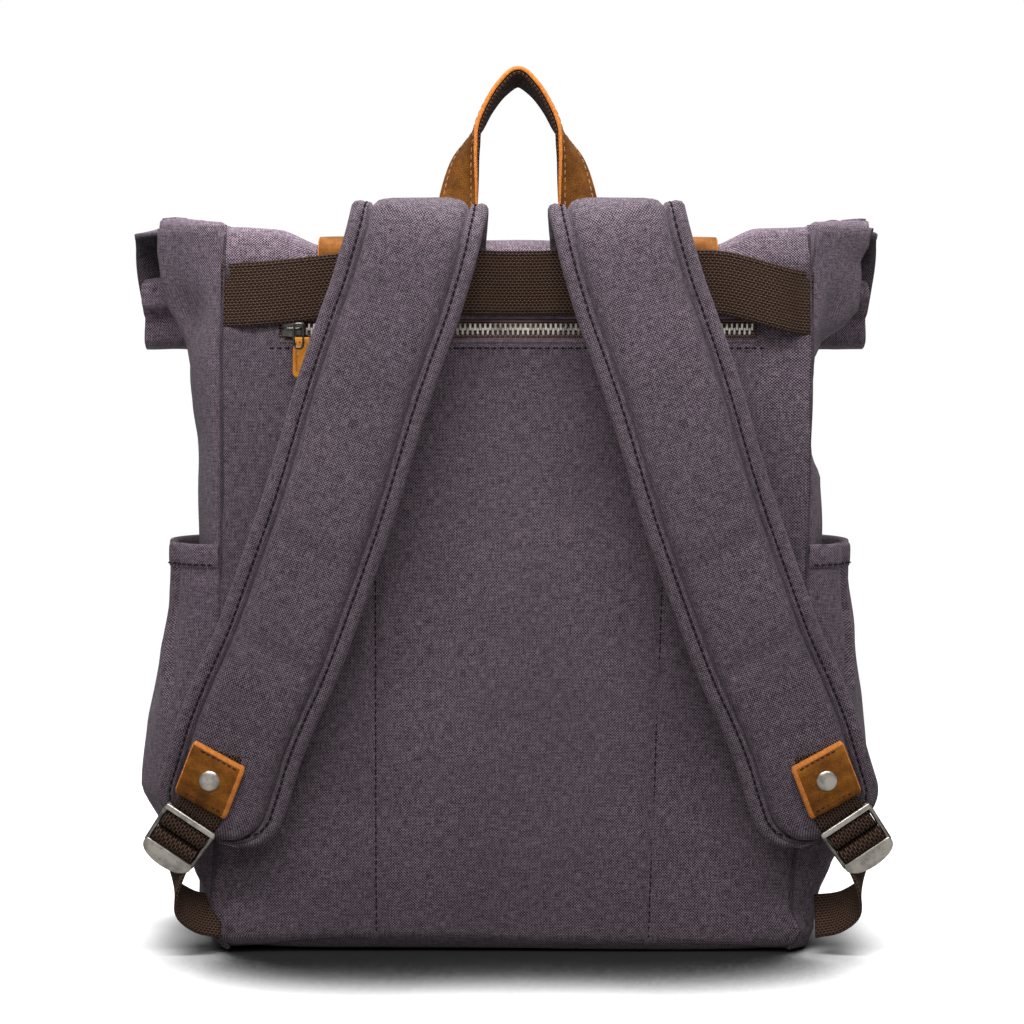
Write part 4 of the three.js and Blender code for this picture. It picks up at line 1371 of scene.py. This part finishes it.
def patch_pieces():
    """The leather patch with its raw edges, its sewing and its rivet."""
    place = strap_matrix(0.935, WEB_OUTSET + 1.6, 11)
    turn = place.to_3x3()
    across, out = turn @ RIGHT, turn @ UP
    stations = []
    for k in range(17):
        y = lerp(15.3, -15.3, k / 16)
        lift = 5.2 - 1.1 * (abs(y) / 15) ** 3 + 0.25 * math.sin(y * 0.8)
        stations.append((place @ Vector((-0.13 * y, y, lift)), across, out))
    half = lambda t: 15.2 - 0.9 * (1 - smooth(0, 0.06, t)) - 0.9 * smooth(0.94, 1, t)
    sheets = [LEATHER, LEATHER_EDGE]
    patch = ribbon("patch_left", stations, half, 2.4, sheets, crown=0.7, columns=16, raw=(15,), raw_rows=(0,))
    outward(patch)
    runs = []
    for y in (-12.6, 12.4):
        runs.append([(place @ Vector((x - 0.13 * y, y, 5.1)), out) for x in (-10.5, 0, 10.5)])
    sewing = stitch_mesh("patch_stitches_left", runs, PATCH_SEWING, THREAD)
    profile = [(5.6, 5.2), (5.8, 5.6), (5.5, 6.1), (4.8, 6.5), (3.6, 6.9), (1.8, 7.15), (0.3, 7.2)]
    return patch, sewing, lathe("rivet_left", profile, place, [SATIN])


# The lift tab: where it starts below the buckle's top bar, and how far it bulges beyond that
TAB_ROOT = -22.0
TAB_BULGE = 8.5


def buckle_piece():
    """A ladder buckle: a proud flat top bar, a middle bar, thin side arms and a half-round lift tab."""
    place = strap_matrix(1.0, WEB_OUTSET + 2.5, 15) @ Matrix.Translation((0, -9.0, -1.1))
    parts = []
    top = [(-15.6, -1.7), (15.6, -1.7), (16.0, 0.0), (15.4, 1.6), (-15.4, 1.6), (-16.0, 0.0)]
    parts.append(plate("top", top, 2.3, place @ Matrix.Translation((0, 0.4, 4.6)), [SATIN], 0.8))
    for y, z, radius, reach in ((0.2, 0.6, 1.5, 15.4), (-11.8, -1.9, 1.3, 14.6)):
        line = [place @ Vector((x, y, z)) for x in frange(-reach, reach, 2.0)]
        parts.append(tube("bar", line, radius, [STEEL], 12))
    for side in (-1, 1):
        route = [(0.4, 4.4), (-2.5, 3.6), (-8, 1.4), (-15, 1.0), (TAB_ROOT - 0.5, 1.2)]
        line = Path([(side * (14.9 + 0.03 * y), y, z) for y, z in route], 5)
        parts.append(tube("arm", [place @ p for p in line.line], 1.35, [STEEL], 10))
    tab = [(-14.6, TAB_ROOT + 1.2), (14.6, TAB_ROOT + 1.2), (15.2, TAB_ROOT - 0.6)]
    for k in range(1, 16):
        a = math.pi * k / 16
        tab.append((15.2 * math.cos(a), TAB_ROOT - 0.8 - TAB_BULGE * math.sin(a) ** 0.8))
    tab.append((-15.2, TAB_ROOT - 0.6))
    rise = Matrix.Translation((0, TAB_ROOT, 1.6)) @ Matrix.Rotation(math.radians(9), 4, "X")
    parts.append(plate("tab", tab, 2.2, place @ rise @ Matrix.Translation((0, -TAB_ROOT, 0)), [SATIN], 0.9))
    return join("ladder_left", parts), place


def adjusting_web(place):
    """The webbing that weaves through the buckle in two ridges and runs down behind its tab."""
    across = place.to_3x3() @ RIGHT
    route = [
        (3.0, 0.4), (0.8, 1.2), (-1.5, 3.4), (-4.2, 4.8), (-8.0, 4.8), (-10.4, 3.4), (-11.3, 0.4),
        (-12.2, 0.2), (-13.2, 2.8), (-15.5, 4.2), (-18.5, 3.9), (-20.8, 1.8), (-21.6, -0.8),
        (-20.0, -2.4), (-16.0, -3.0),
    ]
    stations = [(place @ Vector((0, y, z)), across, Vector()) for y, z in route]
    upper = outward(ribbon("adjuster_left", refined(stations, 4), 12.6, WEBBING, [WEB, WEB], columns=8))
    tail = [
        (place @ Vector((2.5, -15, -5.6)), across), (place @ Vector((3.5, -20, -6.0)), across),
        ((-188.8, -77, 46), (0.5, -0.86, -0.1)), ((-189.3, -75, 37), (0.12, -0.99, 0)),
        ((-184.5, -72, 27), (-0.3, -0.91, -0.28)), ((-176, -69, 21.5), (-0.25, -0.74, -0.62)),
        ((-165, -65, 19), (-0.05, -0.6, -0.8)),
    ]
    stations = [(Vector(p), Vector(a).normalized(), Vector()) for p, a in tail]
    gathered = lambda t: lerp(8.5, 12.4, smooth(0.22, 0.5, t))
    tail = refined(stations, 6)
    lower = outward(ribbon("adjuster_tail_left", tail, gathered, WEBBING, [WEB, WEB], columns=8))
    return upper, lower


def place_straps():
    pad = shoulder_strap()
    sewing = stitch_mesh("strap_stitches_left", strap_stitch_run(), STRAP_SEWING, THREAD)
    web = outward(ribbon("strap_web_left", refined(web_stations(), 4), 12.8, WEBBING, [WEB, WEB], columns=8))
    patch, patch_sewing, rivet = patch_pieces()
    ladder, place = buckle_piece()
    upper, lower = adjusting_web(place)
    lefts = [pad, sewing, web, patch, patch_sewing, rivet, ladder, upper, lower]
    for name, side in SIDES:
        made = lefts if side < 0 else [mirrored(o, o.name.replace("left", "right")) for o in lefts]
        pad_s, sewing_s, web_s, patch_s, patch_sewing_s, rivet_s, ladder_s, upper_s, lower_s = made
        shoulder, buckle = "shoulder_" + name, "buckle_" + name
        for piece, slot_name in ((pad_s, "canvas"), (sewing_s, "thread")):
            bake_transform(piece)
        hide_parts("strap_root_" + name, "shoulder_strap_face_" + name, "shoulder_strap_foam_" + name,
                    "shoulder_strap_backing_" + name)
        finish(web_s, shoulder, "webbing", "strap_webbing_" + name)
        finish(patch_s, shoulder, "leather", "strap_patch_" + name)
        finish(patch_sewing_s, shoulder, "thread")
        finish(rivet_s, shoulder, "buckle_metal", "strap_rivet_" + name)
        finish(ladder_s, buckle, "buckle_metal", "ladder_buckle_" + name)
        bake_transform(upper_s)
        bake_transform(lower_s)
        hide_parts("adjust_webbing_" + name)


place_straps()

# -------------------- carrying handle

# Middle of the left leg: x, z and how far the strip has turned edge-on, in degrees
HANDLE_LEG = [
    (34, 360, 0), (34, 385, 0), (34, 400, 12), (32.6, 416, 30), (29.9, 434, 52), (26, 446, 74),
    (22.3, 455, 90), (17, 466, 94), (9.5, 476.5, 98), (0, 483, 103),
]


def handle_stations(out_by):
    """The handle's line, moved out of its face by out_by mm."""
    places = [Vector((-x, turn, z)) for x, z, turn in HANDLE_LEG]
    places += [Vector((x, turn, z)) for x, z, turn in reversed(HANDLE_LEG[:-1])]
    path = Path(places, 12)
    stations = []
    count = len(path.line)
    for i, place in enumerate(path.line):
        before, after = path.line[max(0, i - 1)], path.line[min(count - 1, i + 1)]
        along = Vector((after.x - before.x, 0, after.z - before.z)).normalized()
        level = Vector((along.z, 0, -along.x))
        turn = math.radians(clamp(place.y, 0, HANDLE_LEG[-1][2]))
        across = level * math.cos(turn) + REARWARD * math.sin(turn)
        out = across.cross(along).normalized()
        y = REAR_Y - 1.6 + 8 * math.sin(turn)
        stations.append((Vector((place.x, y, place.z)) + out * out_by, across, out))
    return stations


def handle():
    width = (HANDLE_FOOT_HIGH.x - HANDLE_FOOT_LOW.x) / 2
    face, sheets = handle_stations(1.2), [HANDLE_LEATHER, LEATHER_EDGE]
    leather = outward(ribbon("handle_strip", face, width, 2.3, sheets, crown=0.5))
    lining = outward(ribbon("handle_web", handle_stations(-1.5), width - 0.9, 1.5, [WEB, WEB], columns=8))
    # Two rows of sewing that stop short of the feet
    runs = []
    for sign in (-1, 1):
        runs.append([(c + a * (sign * (width - 2.6)) + o * 0.25, o) for c, a, o in face[18:-18]])
    sewing = stitch_mesh("handle_stitches", runs, LEATHER_SEWING, TAN_THREAD)
    for piece, slot_name in ((leather, "leather"), (lining, "webbing"), (sewing, "thread")):
        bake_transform(piece)
    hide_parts("handle_leather", "handle_foot_left", "handle_foot_right")
    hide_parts("handle_lining")


handle()

# -------------------- closure straps and front pocket

# The closure straps as (y, z): the root sewn under the band, and the strap over the roll to its snap
ANCHOR_LINE = [(-68.2, 362), (-68.6, 381), (-67, 388.5), (-61, 393.8), (-50, 395.4), (-36, 395.8)]
CLOSURE_LINE = [
    (-39, 395.9), (-20, 396.2), (0, 396.3), (36, 395.6), (47.5, 391.6), (53.2, 385), (54.2, 366),
    (54.2, 346), (61, 310), (73, 268), (86.4, 236), (89.4, 226), (89.6, 205), (89.6, 186),
]
# The stretch of it that the frame buckle sits on
FRAME_TOP = (54.2, 345)
FRAME_FOOT = (61, 310)
SNAP_CAP = [(6.9, 0.2), (7.0, 0.9), (6.3, 1.7), (4.4, 2.3), (2.2, 2.6), (0.3, 2.65)]
SNAP_SOCKET = [(6.6, 0.0), (6.8, 0.5), (6.2, 1.1), (4.0, 1.3), (3.6, 0.8), (0.3, 0.8)]


def leather_strap(name, x, line, tip):
    """A leather strap along (y, z) points, narrowed over its last share, tip."""
    path = Path([(x, y, z) for y, z in line], 8)
    stations = []
    for i, point in enumerate(path.line):
        before, after = path.line[max(0, i - 1)], path.line[min(len(path.line) - 1, i + 1)]
        along = (after - before).normalized()
        across = RIGHT
        out = -along.cross(across)
        rise = 0.35 * wobble(x, i * 2.0, 0, 17, 3)
        stations.append((point + out * rise, across, out.normalized()))
    half = lambda t: CLOSURE_HALF * (1 - 0.28 * smooth(1 - tip, 1, t) if tip else 1)
    strap = ribbon(name, stations, half, 2.2, [LEATHER, LEATHER_EDGE], crown=0.3, columns=12)
    return outward(strap), stations


def closure_frame(x, name):
    """The closure's frame buckle: a rounded wire frame, a bar and a prong."""
    low, high = Vector((x, *FRAME_TOP)), Vector((x, *FRAME_FOOT))
    up = (low - high).normalized()
    out = Vector((0, up.z, -up.y))
    basis = Matrix((RIGHT, up, RIGHT.cross(up))).transposed().to_4x4()
    place = Matrix.Translation((low + high) / 2 + out * 1.3) @ basis
    loop = [place @ Vector((u, v, 0)) for u, v in rounded_loop(21.5, 11.5, 6, 48)]
    bar = [place @ Vector((u, 0, 0.6)) for u in frange(-21, 21, 3)]
    prong = [place @ Vector((0, v, 1.6 + 0.5 * math.cos(v / 4))) for v in frange(0, 12.5, 1.5)]
    parts = [tube("frame", loop, 1.7, [STEEL], 10, closed=True)]
    parts.append(tube("bar", bar, 1.4, [STEEL], 10))
    parts.append(tube("prong", prong, 1.2, [STEEL], 8))
    finish(join("closure_frame_" + name, parts), "closure_" + name, "buckle_metal", "closure_buckle_" + name)


def closure_snap(name):
    """The magnetic snap: its cap on the strap and its socket on the bag."""
    low, high = node_box("snap_stud_" + name)
    centre = (low + high) / 2
    turned = Matrix.Rotation(-math.pi / 2, 4, "X")
    place = Matrix.Translation((centre.x, 89.2, centre.z)) @ turned
    stud = lathe("snap_cap_" + name, SNAP_CAP, place, [SATIN])
    finish(stud, "closure_" + name, "buckle_metal", "snap_stud_" + name)
    place = Matrix.Translation((centre.x, 84.4, centre.z)) @ turned
    socket = lathe("snap_base_" + name, SNAP_SOCKET, place, [STEEL])
    finish(socket, "root", "buckle_metal", "snap_socket_" + name)


def closure(side, name):
    x = side * CLOSURE_X
    anchor, _ = leather_strap("closure_root_" + name, x, ANCHOR_LINE, 0.0)
    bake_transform(anchor)
    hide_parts("closure_anchor_" + name)
    strap, stations = leather_strap("closure_leather_" + name, x, CLOSURE_LINE, 0.07)
    runs = []
    for sign in (-1, 1):
        runs.append([(c + a * (sign * (CLOSURE_HALF - 2.6)) + o * 0.1, o) for c, a, o in stations[4:-8]])
    sewing = stitch_mesh("closure_stitches_" + name, runs, LEATHER_SEWING, TAN_THREAD)
    for piece, slot_name in ((strap, "leather"), (sewing, "thread")):
        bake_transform(piece)
    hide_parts("closure_strap_" + name)
    closure_frame(x, name)
    closure_snap(name)


# The front pocket's hem: height from the pocket's top and distance out of the cloth
PATCH_HEM = [
    (-17, 0.1), (-16, 0.5), (-8, 0.6), (-2, 0.6), (-0.4, 0.1), (0.0, -0.8), (-0.6, -1.8), (-3, -2.2),
    (-16, -2.2),
]


def patch_pocket_point(x_share, z):
    """The flat pocket on the far side: full in its middle, with boxed edges."""
    half = (PATCH_POCKET_HIGH.x - PATCH_POCKET_LOW.x) / 2
    base_y = FRONT_Y + 1.0
    depth = PATCH_POCKET_HIGH.y - base_y - 0.6
    edge = 1 - abs(x_share)
    rise = smooth(0, 0.11, edge) * smooth(PATCH_POCKET_LOW.z, PATCH_POCKET_LOW.z + 20, z)
    x = x_share * half * lerp(1.0, 0.985, rise)
    y = base_y + depth * rise + 0.7 * rise * wobble(x, 0, z, 42, 17)
    return Vector((x, y, z))


def patch_pocket_runs():
    """Sewing under the hem, and down, along and up the pocket's other edges."""
    out = FORWARD
    top, foot = PATCH_POCKET_HIGH.z - 16, PATCH_POCKET_LOW.z + 9
    under = [patch_pocket_point(u, PATCH_POCKET_HIGH.z - 14.5) + out * 0.6 for u in frange(-0.97, 0.97, 0.02)]
    runs = [[(p, out) for p in under]]
    half = PATCH_POCKET_HIGH.x - 6.0
    line = [(-half, top), (-half, foot), (half, foot), (half, top)]
    for (xa, za), (xb, zb) in zip(line, line[1:]):
        steps = max(2, int(max(abs(xb - xa), abs(zb - za)) / 4))
        run = []
        for k in range(steps + 1):
            x, z = lerp(xa, xb, k / steps), lerp(za, zb, k / steps)
            run.append((patch_pocket_point(x / PATCH_POCKET_HIGH.x, z) + out * 0.1, out))
        runs.append(run)
    return runs


def patch_pocket():
    shares = [1 - 2 * (k / 96) for k in range(97)]
    heights = frange(PATCH_POCKET_LOW.z, PATCH_POCKET_HIGH.z - 2, 4)
    rows = [[patch_pocket_point(u, z) for u in shares] for z in heights]
    pocket = grid("patch_pocket_cloth", rows, [CANVAS, CANVAS_BACK_PAINTED_SHADE])
    thicken(pocket, CLOTH, rim=0)
    finish(pocket, "root", "canvas", "front_pocket")
    rows = []
    for dz, out in PATCH_HEM:
        row = []
        for u in shares:
            p = patch_pocket_point(u, PATCH_POCKET_HIGH.z + dz)
            aside = 0.6 * out * math.copysign(1, p.x) if abs(p.x) > 118 else 0.0
            row.append(p + Vector((aside, out, 0)))
        rows.append(row)
    hem = grid("patch_pocket_hem", rows, [CANVAS, CANVAS])
    finish(hem, "root", "canvas")
    finish(stitch_mesh("patch_pocket_stitches", patch_pocket_runs(), BODY_SEWING, THREAD), "root", "thread")


for closure_name, closure_side in SIDES:
    closure(closure_side, closure_name)
patch_pocket()

# -------------------- inner pieces kept from the CAD frame

INNER_FINISH = (
    (("lining", "laptop_sleeve", "rear_pocket_lining"), LINING),
    (("back_foam",), FOAM),
    (("roll_stiffener",), BOARD),
)
for node_names, finish_material in INNER_FINISH:
    for node_name in node_names:
        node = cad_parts[node_name]
        node.data.materials.clear()
        node.data.materials.append(finish_material)

# -------------------- floor, light and camera


# Contact shade on the floor: its reach in metres, the shade's direction and the open share it spans
SHADE_REACH = 0.15
SHADE_LEAN = {"X": 0.0, "Y": 0.97, "Z": 0.24}
SHADE_SPAN = (0.5, 0.8)
# Distance from the bag, in metres, over which the floor turns evenly bright
FLOOR_FADE = (0.45, 1.0)
FLOOR_HALF = 6000
# Share of the surround's light that falls on the bag, of the light that the camera sees
SURROUND_LIGHT = 0.24
# Name, place and target, size in metres, and power in watts
LIGHTS = (
    ("overhead", (0.0, 0.2, 1.6), (0, 0.1, 0.2), (1.1, 0.8), 38),
    ("key", (-0.15, -1.15, 1.0), (0, -0.06, 0.33), (0.8, 0.5), 8.0),
    ("top", (0.0, -0.5, 0.92), (0, -0.05, 0.42), (1.0, 0.2), 13.0),
)
CAMERA_PLACE = (-0.0033, -1.395, 0.30)
CAMERA_TARGET = (-0.0033, REAR_Y * MM, 0.2436)


def floor_material():
    """Matt white paper, shaded where the bag is near, that turns evenly bright away from the bag."""
    n = Nodes("floor")
    place = n.coordinates("Object")
    tone = n.noise(place, 3.0)
    paper = n.ramp(tone, [(0.3, (0.94, 0.94, 0.95)), (0.7, (0.97, 0.97, 0.97))])
    seen = n.add("ShaderNodeLightPath").outputs["Is Camera Ray"]
    contact = n.add("ShaderNodeAmbientOcclusion", samples=24)
    leaning = n.add("ShaderNodeCombineXYZ")
    n.feed(leaning, SHADE_LEAN)
    n.feed(contact, {"Distance": SHADE_REACH, "Normal": leaning.outputs[0]})
    shade = n.span(contact.outputs["AO"], *SHADE_SPAN)
    shaded = n.mix(shade, (0.01, 0.01, 0.01, 1.0), paper)
    n.colour(n.mix(seen, (0.3, 0.3, 0.3, 1.0), shaded))
    n.feed(n.shader, {"Roughness": 0.8, "Specular IOR Level": 0.1})
    radius = n.add("ShaderNodeVectorMath", operation="LENGTH")
    n.link(place, radius.inputs[0])
    far = n.span(radius.outputs["Value"], *FLOOR_FADE)
    glow = n.add("ShaderNodeEmission")
    n.feed(glow, {"Color": (1.0, 1.0, 1.0, 1.0), "Strength": 1.0})
    mixed = n.add("ShaderNodeMixShader")
    n.feed(mixed, {0: far})
    n.link(n.shader.outputs[0], mixed.inputs[1])
    n.link(glow.outputs[0], mixed.inputs[2])
    n.link(mixed.outputs[0], n.tree.nodes["Material Output"].inputs["Surface"])
    return n.material


def area_light(name, place, target, size, power):
    data = bpy.data.lights.new(name, "AREA")
    data.shape = "RECTANGLE"
    data.size, data.size_y = size
    data.energy = power
    light = bpy.data.objects.new(name, data)
    light.location = place
    light.rotation_euler = (Vector(target) - Vector(place)).to_track_quat("-Z", "Y").to_euler()
    light.visible_camera = False
    bpy.context.scene.collection.objects.link(light)


def backdrop():
    """A white surround that lights the bag only softly."""
    world = bpy.data.worlds.new("studio")
    world.use_nodes = True
    tree = world.node_tree
    seen = tree.nodes.new("ShaderNodeLightPath")
    strength = tree.nodes.new("ShaderNodeMapRange")
    strength.inputs[3].default_value = SURROUND_LIGHT
    strength.inputs[4].default_value = 1.0
    tree.links.new(seen.outputs["Is Camera Ray"], strength.inputs[0])
    background = tree.nodes["Background"]
    background.inputs["Color"].default_value = (1.0, 1.0, 1.0, 1.0)
    tree.links.new(strength.outputs[0], background.inputs["Strength"])
    return world


def studio():
    scene = bpy.context.scene
    corners = [(x * FLOOR_HALF, y * FLOOR_HALF, -1) for x, y in ((-1, -1), (1, -1), (1, 1), (-1, 1))]
    floor = make_mesh("floor", corners, [(0, 1, 2, 3)], [floor_material()])
    scene.world = backdrop()
    for light in LIGHTS:
        area_light(*light)
    scene.view_settings.view_transform = "Standard"
    camera = bpy.data.objects.new("camera", bpy.data.cameras.new("camera"))
    camera.data.lens = 85
    camera.data.sensor_width = 36
    camera.location = CAMERA_PLACE
    aim = Vector(CAMERA_TARGET) - camera.location
    camera.rotation_euler = aim.to_track_quat("-Z", "Y").to_euler()
    scene.collection.objects.link(camera)
    scene.camera = camera


studio()
